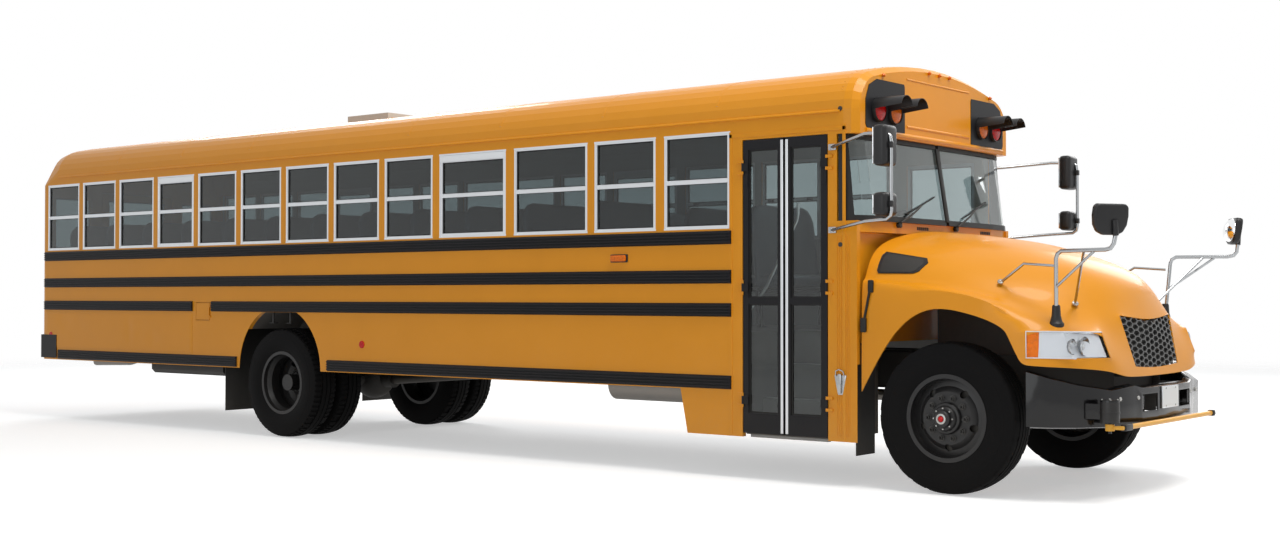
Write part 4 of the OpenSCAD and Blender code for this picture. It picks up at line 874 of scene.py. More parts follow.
class BUS_OT_tyres(bpy.types.Operator):
    """Put treaded tyres on the wheels"""
    bl_idname = "bus.tyres"
    bl_label = "Tyres"

    def execute(self, context):
        for side in ("right", "left"):
            lo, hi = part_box("tyre_front_" + side)
            middle = Vector((FRONT_X, (lo.y + hi.y) / 2, AXLE_Z))
            made = tyre(middle, hi.y - lo.y, (hi.z - lo.z) / 2, False)
            finish_piece(made, "tread_tyre_front_" + side, "rubber", "wheel_front_" + side, smooth=30)
            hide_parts("tyre_front_" + side)
            pair = []
            for lo, hi in solid_boxes("tyres_rear_" + side):
                middle = Vector((REAR_X, (lo.y + hi.y) / 2, AXLE_Z))
                pair.append(tyre(middle, hi.y - lo.y, (hi.z - lo.z) / 2, True))
            made = finish_piece(pair, "tread_tyres_rear_" + side, "rubber", "wheels_rear_" + side, smooth=30)
            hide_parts("tyres_rear_" + side)
        return {"FINISHED"}


def wheel_nuts(x, side, radius, node):
    """Ten flanged nuts with stud ends on the disc of a wheel. side is -1 on the right."""
    size = bpy.context.scene.bus_wheels.nut_size
    spot = surface(node, (x, side * ASIDE, AXLE_Z + radius), (0, -side, 0))
    out = Vector((0, side, 0))
    nut = bar(spot, spot + out * 0.024, size / 2 / math.cos(math.radians(30)), 6, 0.0015)
    washer = bar(spot, spot + out * 0.006, size * 0.72, 20, 0.001)
    stud = bar(spot + out * 0.02, spot + out * 0.042, 0.0105, 12, 0.0015)
    start = about((x, 0, AXLE_Z), 18, (0, 1, 0))
    parts = join([nut, washer, stud])
    parts.data.transform(start)
    return ring_of(parts, 10, (x, 0, AXLE_Z), (0, 1, 0))


class BUS_OT_hubs(bpy.types.Operator):
    """Add the wheels' nuts and hub caps"""
    bl_idname = "bus.hubs"
    bl_label = "Hubs"

    def execute(self, context):
        for side, sign in (("right", -1), ("left", 1)):
            rim = "rim_front_" + side
            body = "wheel_front_" + side
            nuts = wheel_nuts(FRONT_X, sign, NUT_CIRCLE, rim)
            finish_piece(nuts, "nuts_front_" + side, "grey", body)
            face = surface(rim, (FRONT_X + 0.1, sign * ASIDE, AXLE_Z), (0, -sign, 0))
            base = Vector((FRONT_X, face.y, AXLE_Z))
            hub = lathe([(-0.004, 0.0), (-0.004, 0.112), (0.018, 0.11), (0.026, 0.104), (0.03, 0.09), (0.05, 0.084),
                         (0.056, 0.078), (0.056, 0.062), (0.082, 0.058), (0.09, 0.05), (0.09, 0.0)],
                        base, (0, sign, 0), 48)
            finish_piece(hub, "hub_front_" + side, "rim", body)
            cap_at = base + Vector((0, sign * 0.09, 0))
            bolt = bar(cap_at + Vector((0, -sign * 0.034, 0.071)), cap_at + Vector((0, -sign * 0.024, 0.071)), 0.006, 6,
                       0.001)
            bolts = ring_of(bolt, 8, base, (0, 1, 0))
            window = lathe([(-0.002, 0.036), (0.003, 0.036), (0.005, 0.033), (0.005, 0.024), (0.002, 0.022),
                            (-0.002, 0.022)], cap_at, (0, sign, 0), 32)
            finish_piece([bolts, window], "hub_bolts_" + side, "zinc", body)
            disc = surface("rim_front_" + side, (FRONT_X, sign * ASIDE, AXLE_Z + NUT_CIRCLE), (0, -sign, 0))
            shield = lathe([(0.0, 0.12), (0.0, 0.255), (0.003, 0.255), (0.003, 0.12), (0.0, 0.12)],
                           (FRONT_X, disc.y - sign * 0.055, AXLE_Z), (0, sign, 0), 40)
            finish_piece(shield, "dust_shield_" + side, "chassis", body)
            plug = lathe([(-0.001, 0.0), (-0.001, 0.02), (0.006, 0.019), (0.009, 0.014), (0.01, 0.0)], cap_at,
                         (0, sign, 0), 24)
            finish_piece(plug, "hub_plug_" + side, "red", body)
            rim, body = "rims_rear_" + side, "wheels_rear_" + side
            nuts = wheel_nuts(REAR_X, sign, NUT_CIRCLE, rim)
            finish_piece(nuts, "nuts_rear_" + side, "grey", body)
            face = surface(rim, (REAR_X + 0.1, sign * ASIDE, AXLE_Z), (0, -sign, 0))
            base = Vector((REAR_X, face.y, AXLE_Z))
            hub = lathe([(-0.004, 0.0), (-0.004, 0.106), (0.03, 0.104), (0.07, 0.098), (0.082, 0.092), (0.082, 0.078),
                         (0.1, 0.072), (0.104, 0.06), (0.104, 0.0)], base, (0, sign, 0), 48)
            bolt = bar(base + Vector((0, sign * 0.08, 0.087)), base + Vector((0, sign * 0.093, 0.087)), 0.008, 6, 0.001)
            bolts = ring_of(bolt, 8, base, (0, 1, 0))
            finish_piece([bolts, hub], "hub_rear_" + side, "rim", body)
        return {"FINISHED"}


# ------------------------------------------------------------------ body sides

class BUS_OT_rails(bpy.types.Operator):
    """Replace the rub rails with ribbed ones"""
    bl_idname = "bus.rails"
    bl_label = "Rub rails"

    def execute(self, context):
        deep = context.scene.bus_trim.rib_depth
        rails, screws = [], []
        for lo, hi in solid_boxes("rub_rails"):
            sign = 1 if lo.y > 0 else -1
            back, face = (lo.y, hi.y) if sign > 0 else (hi.y, lo.y)
            height = hi.z - lo.z
            # Each point of the section is a share of the height and a share of the depth
            ribs = [(0.0, 0.0), (0.0, 0.35), (0.05, 0.62)]
            for k in range(4):
                a = 0.08 + 0.225 * k
                ribs += [(a, 1 - deep / 0.022), (a + 0.03, 0.97), (a + 0.055, 1.0), (a + 0.11, 1.0), (a + 0.135, 0.97),
                         (a + 0.165, 1 - deep / 0.022)]
            ribs += [(0.95, 0.62), (1.0, 0.35), (1.0, 0.0)]
            outline = [(lo.x, back + (face - back) * d, lo.z + height * t) for t, d in ribs]
            rails.append(sheet_of(outline, (hi.x - lo.x, 0, 0)))
            count = max(2, int((hi.x - lo.x) / 0.3))
            screw = bar((lo.x + 0.06, back, lo.z + 0.006), (lo.x + 0.06, back + (face - back) * 0.42, lo.z + 0.006),
                        0.0055, 8, 0.001)
            screws.append(row(screw, count, ((hi.x - lo.x - 0.12) / (count - 1), 0, 0)))
        made = finish_piece(rails, "ribbed_rub_rails", "black")
        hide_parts("rub_rails")
        finish_piece(screws, "rub_rail_screws", "chassis")
        return {"FINISHED"}


def frame_ring(lo, hi, wide, y0, y1):
    """A flat rectangular ring standing along the bus, from y0 to y1, just inside the given corners."""
    obj = add(bpy.ops.mesh.primitive_plane_add, (hi.x - lo.x, hi.z - lo.z, 1), size=1,
              location=((lo.x + hi.x) / 2, y0, (lo.z + hi.z) / 2), rotation=(math.radians(90), 0, 0))
    return open_ring(obj, wide, (0, y1 - y0, 0))


class BUS_OT_windows(bpy.types.Operator):
    """Add the side windows' seals, latches, rails and exit bands"""
    bl_idname = "bus.windows"
    bl_label = "Side windows"

    EXITS = (3, 9)  # bays that are emergency exits, counted from the rear
    LOW_TOP, HIGH_TOP = 2.55, 2.65  # a side window's frame ends between these heights

    def execute(self, context):
        seals, bright, latches, sills = [], [], [], []
        for lo, hi in solid_boxes("window_glass"):
            if hi.x - lo.x < 0.05:
                continue
            sign = 1 if lo.y > 0 else -1
            outer = hi.y if sign > 0 else lo.y
            seals.append(frame_ring(lo, hi, 0.009, outer - sign * 0.001, outer + sign * 0.005))
            inner = lo.y if sign > 0 else hi.y
            seals.append(frame_ring(lo, hi, 0.009, inner + sign * 0.001, inner - sign * 0.004))
        for lo, hi in solid_boxes("window_frames"):
            sign = 1 if lo.y > 0 else -1
            face = hi.y if sign > 0 else lo.y
            wide = hi.x - lo.x
            if not self.LOW_TOP <= hi.z <= self.HIGH_TOP:
                continue
            middle = (lo.z + hi.z) / 2 + 0.001

            def strip(x0, x1, z0, z1, proud, width=0.0015, segments=1):
                y0, y1 = sorted((face - sign * 0.002, face + sign * proud))
                return block((x0, y0, z0), (x1, y1, z1), width, segments)

            for z in (middle - 0.016, middle + 0.012):
                bright.append(strip(lo.x + 0.026, hi.x - 0.026, z - 0.0035, z + 0.0035, 0.0035, 0.0012))
            bright.append(strip(lo.x - 0.006, hi.x + 0.006, hi.z - 0.012, hi.z + 0.004, 0.0045))
            bright.append(strip(lo.x - 0.006, hi.x + 0.006, lo.z - 0.004, lo.z + 0.012, 0.0045))
            for x in (lo.x, hi.x - 0.010):
                bright.append(strip(x - 0.002, x + 0.012, lo.z + 0.01, hi.z - 0.01, 0.0045))
            for x in (lo.x + wide * 0.16, hi.x - wide * 0.16):
                a, b = sorted((face - sign * 0.036, face - sign * 0.048))
                latches.append(block((x - 0.03, a, middle - 0.012), (x + 0.03, b, middle + 0.012), 0.003, 2))
            bay = [i for i, x in enumerate(self.bays(sign)) if abs(x - lo.x) < 0.01][0]
            if bay in self.EXITS:
                bright.append(strip(lo.x + 0.004, hi.x - 0.004, hi.z - 0.07, hi.z - 0.014, 0.007, 0.003, 2))
                sills.append(strip(lo.x - 0.004, hi.x + 0.004, lo.z - 0.022, lo.z - 0.004, 0.006, 0.004, 2))
        finish_piece(seals, "window_seals", "seal")
        finish_piece(bright, "window_trim", "aluminium")
        finish_piece(latches, "window_latches", "plastic")
        finish_piece(sills, "exit_window_sills", "paint")
        return {"FINISHED"}

    def bays(self, sign):
        """Lower x of the window bays of one side, from the rear."""
        return sorted(lo.x for lo, hi in solid_boxes("window_frames")
                      if (lo.y > 0) == (sign > 0) and self.LOW_TOP < hi.z < self.HIGH_TOP)


def rivet_at(place, out, radius):
    """A low domed rivet head, standing out along a direction."""
    return add(bpy.ops.mesh.primitive_uv_sphere_add, [0.5 if abs(c) > 0.5 else 1 for c in out], segments=8,
               ring_count=4, radius=radius, location=place)


class BUS_OT_side_details(bpy.types.Operator):
    """Add seams, rivets, reflectors, side lamps, locks, the hood's latch plate and dents to the body's sides"""
    bl_idname = "bus.side_details"
    bl_label = "Side details"

    def execute(self, context):
        self.seams(context.scene.bus_trim.rivet)
        self.lamps()
        self.hardware()
        self.dents()
        return {"FINISHED"}

    def seams(self, r):
        """Rivets and a drip rail along both sides, and the posts and ribs at the entrance."""
        y = SIDE_Y
        first = BACK_X + 0.36
        length = FRONT_X - 1.75 - first
        count = int(length / 0.175)
        rivets = row(rivet_at((first, -y - 0.0005, 2.668), (0, 1, 0), r * 0.8), count, (length / (count - 1), 0, 0))
        rear = BACK_X + 0.35
        drip = sheet_of([(rear, -y - a, z) for a, z in
                         ((0, 2.690), (0.010, 2.686), (0.013, 2.691), (0.011, 2.699), (0, 2.706))],
                        (FRONT_X - 0.80 - rear, 0, 0))
        post_rear, post_front, wide = FRONT_X - 1.775, FRONT_X - 0.782, 0.026
        doorway = [block((x, -y - 0.004, 0.33), (x + wide, -y + 0.002, 2.6), 0.0015, 1)
                   for x in (post_rear, post_front)]
        doorway.append(block((post_rear, -y - 0.004, 2.556), (post_front + wide, -y + 0.002, 2.584), 0.0015, 1))
        for k in range(7):
            x = FRONT_X - 0.83 + 0.017 * k
            doorway.append(block((x, -y - 0.0035, 0.36), (x + 0.005, -y + 0.001, 1.80), 0.0012, 1))
        finish_piece([both(drip), both(rivets)] + doorway, "body_seams", "paint")

    def lamps(self):
        y = SIDE_Y
        x, z = FRONT_X - 2.85, 1.665
        amber = block((x - 0.155 / 2, -y - 0.030, z - 0.05 / 2), (x + 0.155 / 2, -y - 0.004, z + 0.05 / 2), 0.012, 3)
        red = [lathe([(0, 0), (0, 0.034), (0.006, 0.034), (0.009, 0.03), (0.009, 0.0)], (at, -y, up), (0, -1, 0), 32)
               for at, up in ((FRONT_X - 11.14, 0.93), (FRONT_X - 5.914, 0.92))]
        base = block((x - 0.088, -y - 0.008, z - 0.032), (x + 0.088, -y + 0.001, z + 0.032), 0.006, 2)
        finish_piece(both(amber), "side_turn_lamps", "amber")
        finish_piece(both(red), "side_reflectors", "red")
        finish_piece(both(base), "side_lamp_bases", "plastic")

    def hardware(self):
        y = SIDE_Y
        x = FRONT_X - 0.80
        locks = [lathe([(0, 0), (0, 0.017), (0.004, 0.017), (0.006, 0.013), (0.006, 0.0)], (x, -y, z), (0, -1, 0), 24)
                 for z in (1.735, 2.71)]
        finish_piece(locks, "side_locks", "steel_dark")
        plate = sheet_of([(x - 0.05, -y, 0.80), (x - 0.02, -y, 0.66), (x + 0.02, -y, 0.66), (x + 0.05, -y, 0.80)],
                         (0, -0.006, 0), 0.0015)
        eye = pipe([(x - 0.036, -y - 0.008, 0.795), (x - 0.03, -y - 0.02, 0.83), (x, -y - 0.024, 0.842),
                    (x + 0.03, -y - 0.02, 0.83), (x + 0.036, -y - 0.008, 0.795)], 0.005)
        stem = block((x - 0.013, -y - 0.022, 0.67), (x + 0.013, -y - 0.004, 0.81), 0.004, 2)
        finish_piece([plate, eye, stem], "hood_latch_plate", "chrome")

    def dents(self):
        """The dented skin of the right rear quarter."""
        x0, x1, z0, z1 = BACK_X + 0.11, FRONT_X - 8.5, 0.775, 1.195
        skin = add(bpy.ops.mesh.primitive_grid_add, (x1 - x0, z1 - z0, 1), x_subdivisions=150, y_subdivisions=44,
                   size=1, location=((x0 + x1) / 2, -SIDE_Y - 0.0042, (z0 + z1) / 2),
                   rotation=(math.radians(90), 0, 0))
        # Place along the bus, height, length, height and depth of each dent
        hits = ((FRONT_X - 10.85, 1.08, 0.20, 0.10, 1.0), (FRONT_X - 10.62, 0.98, 0.12, 0.16, 0.8),
                (FRONT_X - 9.62, 1.0, 0.07, 0.15, 0.9), (FRONT_X - 9.42, 0.97, 0.08, 0.13, 0.7),
                (FRONT_X - 9.2, 0.93, 0.10, 0.08, 0.8), (FRONT_X - 10.3, 0.9, 0.3, 0.06, 0.35))
        for v in skin.data.vertices:
            edge = min(v.co.x - x0, x1 - v.co.x, v.co.z - z0, z1 - v.co.z) / 0.03
            deep = sum(d * math.exp(-((v.co.x - x) / a) ** 2 - ((v.co.z - z) / b) ** 2) for x, z, a, b, d in hits)
            fold = 0.35 * math.sin((v.co.x * 5 + v.co.z * 3) * 3.1) * min(1, deep)
            v.co.y += 0.0036 * min(1.0, max(0.0, deep + fold)) if edge > 1 else 0.0036 * (1 - max(0.0, edge)) * 0.9
        thickened(skin, 0.0005)
        finish_piece(skin, "dented_quarter_skin", "paint", smooth=60)


# ------------------------------------------------------------------ front end

class BUS_OT_front_cap(bpy.types.Operator):
    """Add the lamp panels, warning lamps, visors and marker lamps of both caps"""
    bl_idname = "bus.front_cap"
    bl_label = "Caps and warning lamps"

    RED_FROM = 0.82  # the lamps further out than this are red, the others amber

    def execute(self, context):
        panels, visors, red, amber, bezels = [], [], [], [], []
        for lo, hi in solid_boxes("warning_lamps"):
            middle = (lo + hi) / 2
            front = middle.x > 0
            out = 1 if front else -1
            face = hi.x if front else lo.x
            r = (hi.z - lo.z) / 2
            base = Vector((face - out * 0.022, middle.y, middle.z))
            lens = lathe([(0.0, 0.0), (0.0, r * 0.9), (0.018, r * 0.9), (0.026, r * 0.8), (0.031, r * 0.5),
                          (0.032, 0.0)], base, (out, 0, 0), 40)
            bezels.append(lathe([(0.0, r * 0.88), (0.0, r * 1.0), (0.026, r * 1.0), (0.03, r * 0.97),
                                 (0.026, r * 0.9), (0.0, r * 0.88)], base, (out, 0, 0), 40))
            (amber if abs(middle.y) < self.RED_FROM else red).append(lens)
            visors.append(self.visor(base, out, r * 1.03, 0.24 if front else base.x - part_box("rear_bumper")[0].x))
        for sign in (-1, 1):
            panels.append(self.panel("front_cap", sign, 1))
            panels.append(self.panel("rear_cap", sign, -1))
        finish_piece(panels, "lamp_panels", "black")
        finish_piece(visors, "lamp_visors", "plastic")
        finish_piece(bezels, "lamp_bezels", "seal")
        made = finish_piece(red, "warning_lenses_red", "red")
        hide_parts("warning_lamps")
        finish_piece(amber, "warning_lenses_amber", "amber")
        self.lips()
        self.markers()
        self.roof_rivets(context.scene.bus_trim.rivet)
        return {"FINISHED"}

    def visor(self, base, out, r, length):
        """A hood over the upper half of a lamp, longer at its top."""
        obj = lathe([(0.0, r), (length, r * 0.97), (length, r * 0.93), (0.0, r * 0.955), (0.0, r)], base, (out, 0, 0),
                    32)
        return halved(obj, base + Vector((out * 0.03, 0, r * 0.02)), Vector((0.1 * out, 0, -1)).normalized(),
                      clear_outer=True, use_fill=True)

    def panel(self, node, sign, out):
        """A black panel that lies on the cap behind a pair of lamps."""
        front = out > 0
        x = frame_face(node, out)
        y0, y1, z0, z1 = (0.535, 1.105, 2.575, 2.94) if front else (0.54, 1.1, 2.60, 2.93)
        points = [(x, y0, z0), (x, y1 - 0.02, z0), (x, y1, z0 + 0.03), (x, y1, z1 - 0.16), (x, y1 - 0.05, z1 - 0.05),
                  (x, y1 - 0.16, z1), (x, y0 + 0.01, z1), (x, y0, z1 - 0.02)]
        obj = trail([(a, sign * b, c) for a, b, c in points], closed=True)
        bpy.ops.mesh.subdivide(number_cuts=5)
        bpy.ops.mesh.select_all(action="SELECT")
        bpy.ops.mesh.quads_convert_to_tris()
        bpy.ops.mesh.subdivide(number_cuts=2)
        bpy.ops.object.mode_set(mode="OBJECT")
        proud = 0.004 if front else 0.013
        edit(hug(obj, node, proud, front))
        bpy.ops.mesh.normals_make_consistent(inside=False)
        extrude((-out * (proud - 0.0005), 0, 0))
        close_mesh()
        return obj

    def lips(self):
        """The rolled lip over the windshield and the frame round the blank sign panel."""
        made = []
        for z, reach, r in ((2.558, 1.10, 0.021), (2.63, 0.50, 0.012), (2.985, 0.50, 0.008)):
            steps = 28
            line = []
            for k in range(steps + 1):
                y = reach * (2 * k / steps - 1)
                line.append(on_front("front_cap", y, z) - Vector((r * 0.35, 0, 0)))
            made.append(pipe(line, r, 4))
        finish_piece(made, "cap_lips", "paint")

    def markers(self):
        """Small marker lamps: three in a cluster and one at each corner, at both ends."""
        lamps = {1: [], -1: []}
        for out, node in ((1, "front_cap"), (-1, "rear_cap")):
            for y in (-0.163, 0.0, 0.163, -0.86, 0.86):
                z = 3.055 if abs(y) < 0.5 else 2.965
                place = surface(node, (out * 6.6, y, z), (-out, 0, 0))
                lamps[out].append(lathe([(-0.004, 0.0), (-0.004, 0.02), (0.008, 0.02), (0.016, 0.014), (0.018, 0.0)],
                                        place, (out * 0.7, 0, 0.7), 20))
        finish_piece(lamps[1], "marker_lamps_front", "amber")
        finish_piece(lamps[-1], "marker_lamps_rear", "red")

    def roof_rivets(self, r):
        """Rivet rows over the joints between roof and caps."""
        rivets = []
        lo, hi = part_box("roof")
        for x in (lo.x + 0.03, hi.x - 0.03):
            for k in range(-14, 15):
                y = hi.y * 0.97 * math.sin(math.radians(6.2 * k))
                place = on_roof(x, y)
                rivets.append(rivet_at(place, (0, 0, 1), r * 0.8))
        finish_piece(rivets, "roof_rivets", "paint_roof")


def frame_face(node, out):
    """The outermost x of a node at the front or the rear."""
    lo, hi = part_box(node)
    return hi.x + 0.05 if out > 0 else lo.x - 0.05


class BUS_OT_windshield(bpy.types.Operator):
    """Add the windshield's post, the wipers and the cowl's slots"""
    bl_idname = "bus.windshield"
    bl_label = "Windshield and wipers"

    def execute(self, context):
        foot = on_front("windshield_frame", 0.03, 1.93)
        head = on_front("windshield_frame", 0.03, 2.5)
        foot.y = head.y = 0
        post = sheet_of([foot + Vector((0.006, -0.026, 0)), head + Vector((0.006, -0.026, 0)),
                         head + Vector((0.006, 0.026, 0)), foot + Vector((0.006, 0.026, 0))], (-0.014, 0, 0), 0.003, 2)
        finish_piece(post, "windshield_post", "seal")
        blades, arms = [], []
        size = context.scene.bus_trim.wiper
        for y in (-0.72, 0.16):
            pivot = surface("cowl", (FRONT_X + 1, y, 1.885), (-1, 0, 0)) + Vector((0.006, 0, 0))
            knee = pivot + Vector((0.03, 0, 0.02))
            middle = self.on_glass(y + 0.34, 2.045)
            arms.append(bar(pivot - Vector((0.02, 0, 0)), pivot + Vector((0.024, 0, 0)), 0.02, 16, 0.002))
            arms.append(pipe([knee - Vector((0.012, 0, 0.012)), knee, knee.lerp(middle, 0.55) + Vector((0.022, 0, 0)),
                              middle + Vector((0.016, 0, 0))], 0.0075))
            edge = []
            for k in range(9):
                t = k / 8 - 0.5
                edge.append(self.on_glass(y + 0.34 + t * size * 0.94, 2.045 + t * size * 0.3) + Vector((0.006, 0, 0)))
            blades.append(pipe(edge, 0.006))
            blades.append(pipe([p + Vector((0.009, 0, 0)) for p in edge[1:-1]], 0.0045))
        finish_piece(arms, "wiper_arms", "steel_dark")
        finish_piece(blades, "wiper_blades", "seal")
        vents = []
        for y in (-0.42, 0.62):
            for k in range(6):
                yy = y + 0.03 * k
                p = surface("cowl", (FRONT_X + 1, yy, 1.87), (-1, 0, 0))
                vents.append(block(p - Vector((0.004, 0.011, 0.012)), p + Vector((0.003, 0.011, 0.012)), 0.0015, 1))
        finish_piece(vents, "cowl_slots", "seal")
        return {"FINISHED"}

    def on_glass(self, y, z):
        """A point on the windshield's face, or on the line that goes on from it."""
        y = min(max(y, -1.02), 1.02)
        if abs(y) < 0.035:
            y = 0.035 if y >= 0 else -0.035
        for node in ("windshield", "windshield_frame", "cowl"):
            place = meet(node, (AHEAD, y, z), (-1, 0, 0))
            if place is not None:
                return place
        raise RuntimeError("no windshield at %.3f %.3f" % (y, z))


def merged_copy(node, name):
    """A copy of a node with its loose triangles joined."""
    new = own_copy(frame["nodes"][node])
    new.parent = None
    new.matrix_world = Matrix.Identity(4)
    new.name = name
    pick(new)
    bpy.ops.mesh.customdata_custom_splitnormals_clear()
    edit(new)
    bpy.ops.mesh.remove_doubles(threshold=0.00005)
    bpy.ops.object.mode_set(mode="OBJECT")
    return new


class BUS_OT_hood(bpy.types.Operator):
    """Smooth the hood and add its vents, grille, lamps and latches"""
    bl_idname = "bus.hood"
    bl_label = "Hood"

    def execute(self, context):
        self.shell()
        self.grille()
        self.headlamps()
        self.trim()
        return {"FINISHED"}

    def shell(self):
        """The hood's skin, subdivided between its creases."""
        hood = merged_copy("hood", "hood_skin")
        edit(hood)
        bpy.ops.mesh.tris_convert_to_quads(face_threshold=math.radians(40), shape_threshold=math.radians(60))
        mesh = bmesh.from_edit_mesh(hood.data)
        crease = mesh.edges.layers.float.get("crease_edge") or mesh.edges.layers.float.new("crease_edge")
        for e in mesh.edges:
            if len(e.link_faces) == 2:
                turn = math.degrees(e.calc_face_angle(0))
                e[crease] = 1.0 if turn > 62 else 0.0
        bmesh.update_edit_mesh(hood.data)
        bpy.ops.object.mode_set(mode="OBJECT")
        modified(hood, "SUBSURF", levels=3, render_levels=3)
        finish_piece(hood, "hood_skin", "paint", "hood", smooth=50)
        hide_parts("hood")

    def grille(self):
        """A honeycomb mesh in the grille's opening, behind a thin rim."""
        lo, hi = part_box("grille")
        high, stretch, wall = 0.043, 2.1, 0.006
        radius = high / 2 / math.cos(math.radians(30))
        obj = add(bpy.ops.mesh.primitive_circle_add, vertices=6, radius=radius, fill_type="NGON")
        obj.data.transform(Matrix.Rotation(math.radians(90), 4, "Z"))
        edit(obj)
        bpy.ops.mesh.inset(thickness=wall / 2)
        bpy.ops.mesh.delete(type="FACE")
        bpy.ops.object.mode_set(mode="OBJECT")
        broad = 3 * radius
        obj = join([copy_of(obj, move=(broad / 2, high / 2, 0)), obj])
        row(obj, int((hi.y - lo.y) / (broad * stretch)) + 2, (broad, 0, 0))
        row(obj, int((hi.z - lo.z) / high) + 2, (0, high, 0))
        edit(obj)
        bpy.ops.mesh.remove_doubles(threshold=0.0003)
        extrude((0, 0, 0.3))
        close_mesh()
        obj.data.transform(Matrix(((0, 0, 1, hi.x - 0.2), (stretch, 0, 0, lo.y - 0.03), (0, 1, 0, lo.z - 0.03),
                                   (0, 0, 0, 1))))
        edit(obj)
        close_mesh()
        shape = merged_copy("grille", "grille_shape")
        modified(obj, "BOOLEAN", operation="INTERSECT", solver="EXACT", object=shape)
        bpy.data.objects.remove(shape)
        finish_piece(obj, "grille_mesh", "grille", "hood", smooth=0)
        back = merged_copy("grille", "grille_back")
        for v in back.data.vertices:
            v.co.x -= 0.03
        finish_piece(back, "grille_back", "radiator", "hood")
        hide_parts("grille")

    def headlamps(self):
        """Reflector bowls, bulbs' lenses, turn section and a clear cover for each headlamp."""
        lenses, bowls = [], []
        for lo, hi in solid_boxes("headlights"):
            sign = 1 if lo.y > 0 else -1
            middle = (lo + hi) / 2
            for f, r in ((0.42, 0.062), (0.66, 0.05)):
                y = sign * (abs(lo.y if sign > 0 else hi.y) + f * (hi.y - lo.y))
                place = meet("headlights", (AHEAD, y, middle.z - 0.005), (-1, 0, 0))
                if place is not None:
                    base = place - Vector((0.034, 0, 0))
                    bowls.append(lathe([(-0.004, 0), (-0.004, r * 0.35), (0.008, r * 0.72), (0.02, r * 0.92),
                                        (0.03, r), (0.033, r * 1.05), (0.026, r * 1.06), (0.008, r * 0.85),
                                        (-0.012, 0)], base, (1, 0, 0), 40))
                    lenses.append(lathe([(0.0, 0), (0.0, r * 0.5), (0.01, r * 0.45), (0.02, r * 0.25), (0.024, 0)],
                                        base, (1, 0, 0), 28))
        cover = merged_copy("headlights", "headlamp_covers")
        shells, turn = [], []
        for sign in (-1, 1):
            shell = self.half(sign)
            low = span_of(shell)[0]
            self.flatten_back(shell, 0.028)
            shells.append(shell)
            turn.append(halved(copy_of(shell, move=(0.003, 0, 0)), (low.x + 0.085, 0, 0), (1, 0, 0), clear_outer=True,
                               use_fill=True))
        rims = [self.rim(sign) for sign in (-1, 1)]
        finish_piece(cover, "headlamp_covers", "cover", "hood", smooth=20)
        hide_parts("headlights")
        finish_piece(bowls, "headlamp_bowls", "chrome", "hood")
        finish_piece(shells, "headlamp_linings", "silver", "hood")
        finish_piece(turn, "headlamp_turn_parts", "amber", "hood")
        finish_piece(rims, "headlamp_rims", "silver", "hood")
        finish_piece(lenses, "headlamp_bulbs", "white_lens", "hood")

    def half(self, sign):
        """A copy of the headlamps' glass on one side of the bus."""
        return halved(merged_copy("headlights", "half"), (0, 0, 0), (0, sign, 0), clear_inner=True)

    def flatten_back(self, obj, depth):
        """Shrink a lamp's solid a little and set it back, as the lining behind its cover."""
        low, high = span_of(obj)
        middle = (low + high) / 2
        for v in obj.data.vertices:
            v.co.y = middle.y + (v.co.y - middle.y) * 0.995
            v.co.z = middle.z + (v.co.z - middle.z) * 0.97
            v.co.x -= depth
        obj.data.update()

    def rim(self, sign):
        """A thin bright rim round the face of a headlamp."""
        face = self.half(sign)
        edit(face, "DESELECT")
        mesh = bmesh.from_edit_mesh(face.data)
        for f in mesh.faces:
            c = f.calc_center_median()
            front = meet("headlights", (AHEAD, c.y, c.z), (-1, 0, 0))
            f.select = front is None or abs(front.x - c.x) > 0.003 or f.normal.x < 0.15
        bmesh.update_edit_mesh(face.data)
        bpy.ops.mesh.delete(type="FACE")
        bpy.ops.mesh.select_all(action="SELECT")
        bpy.ops.mesh.region_to_loop()
        mesh = bmesh.from_edit_mesh(face.data)
        keep = {e.index for e in mesh.edges if e.select}
        bpy.ops.mesh.select_mode(type="EDGE")
        for e in mesh.edges:
            e.select = e.index not in keep
        bpy.ops.mesh.delete(type="EDGE_FACE")
        bpy.ops.object.mode_set(mode="OBJECT")
        pick(face)
        bpy.ops.object.convert(target="CURVE")
        face.data.bevel_depth, face.data.bevel_resolution = 0.005, 2
        bpy.ops.object.convert(target="MESH")
        return bpy.context.object

    def trim(self):
        """The side vents and the rubber latches."""
        vents, mesh_parts = [], []
        outline = [(FRONT_X - 0.569, 1.66), (FRONT_X - 0.555, 1.683), (FRONT_X - 0.25, 1.632), (FRONT_X - 0.226, 1.60),
                   (FRONT_X - 0.262, 1.54), (FRONT_X - 0.30, 1.525), (FRONT_X - 0.555, 1.528), (FRONT_X - 0.569, 1.55)]
        for grow, depth, store in ((1.0, 0.004, vents), (0.86, 0.007, mesh_parts)):
            cx = sum(x for x, _ in outline) / len(outline)
            cz = sum(z for _, z in outline) / len(outline)
            obj = trail([(cx + (x - cx) * grow, -1.5, cz + (z - cz) * grow) for x, z in outline], closed=True)
            bpy.ops.mesh.quads_convert_to_tris()
            bpy.ops.mesh.subdivide(number_cuts=5)
            bpy.ops.object.mode_set(mode="OBJECT")
            modified(obj, "SHRINKWRAP", target=bpy.data.objects["hood_skin"], wrap_method="PROJECT", offset=depth,
                     use_project_x=False, use_project_y=True, use_project_z=False, use_positive_direction=True,
                     use_negative_direction=False)
            store.append(thickened(obj, 0.006))
        finish_piece(both(vents), "hood_vent_rims", "plastic", "hood")
        finish_piece(both(mesh_parts), "hood_vent_mesh", "radiator", "hood")
        y = 1.2
        top = Vector((FRONT_X - 0.575, -y, 1.435))
        low = Vector((FRONT_X - 0.625, -y, 1.16))
        skin = bpy.data.objects["hood_skin"]
        ends = []
        for p in (top, low):
            hit, place, _, _ = skin.ray_cast(Vector((p.x, -2, p.z)), Vector((0, 1, 0)))
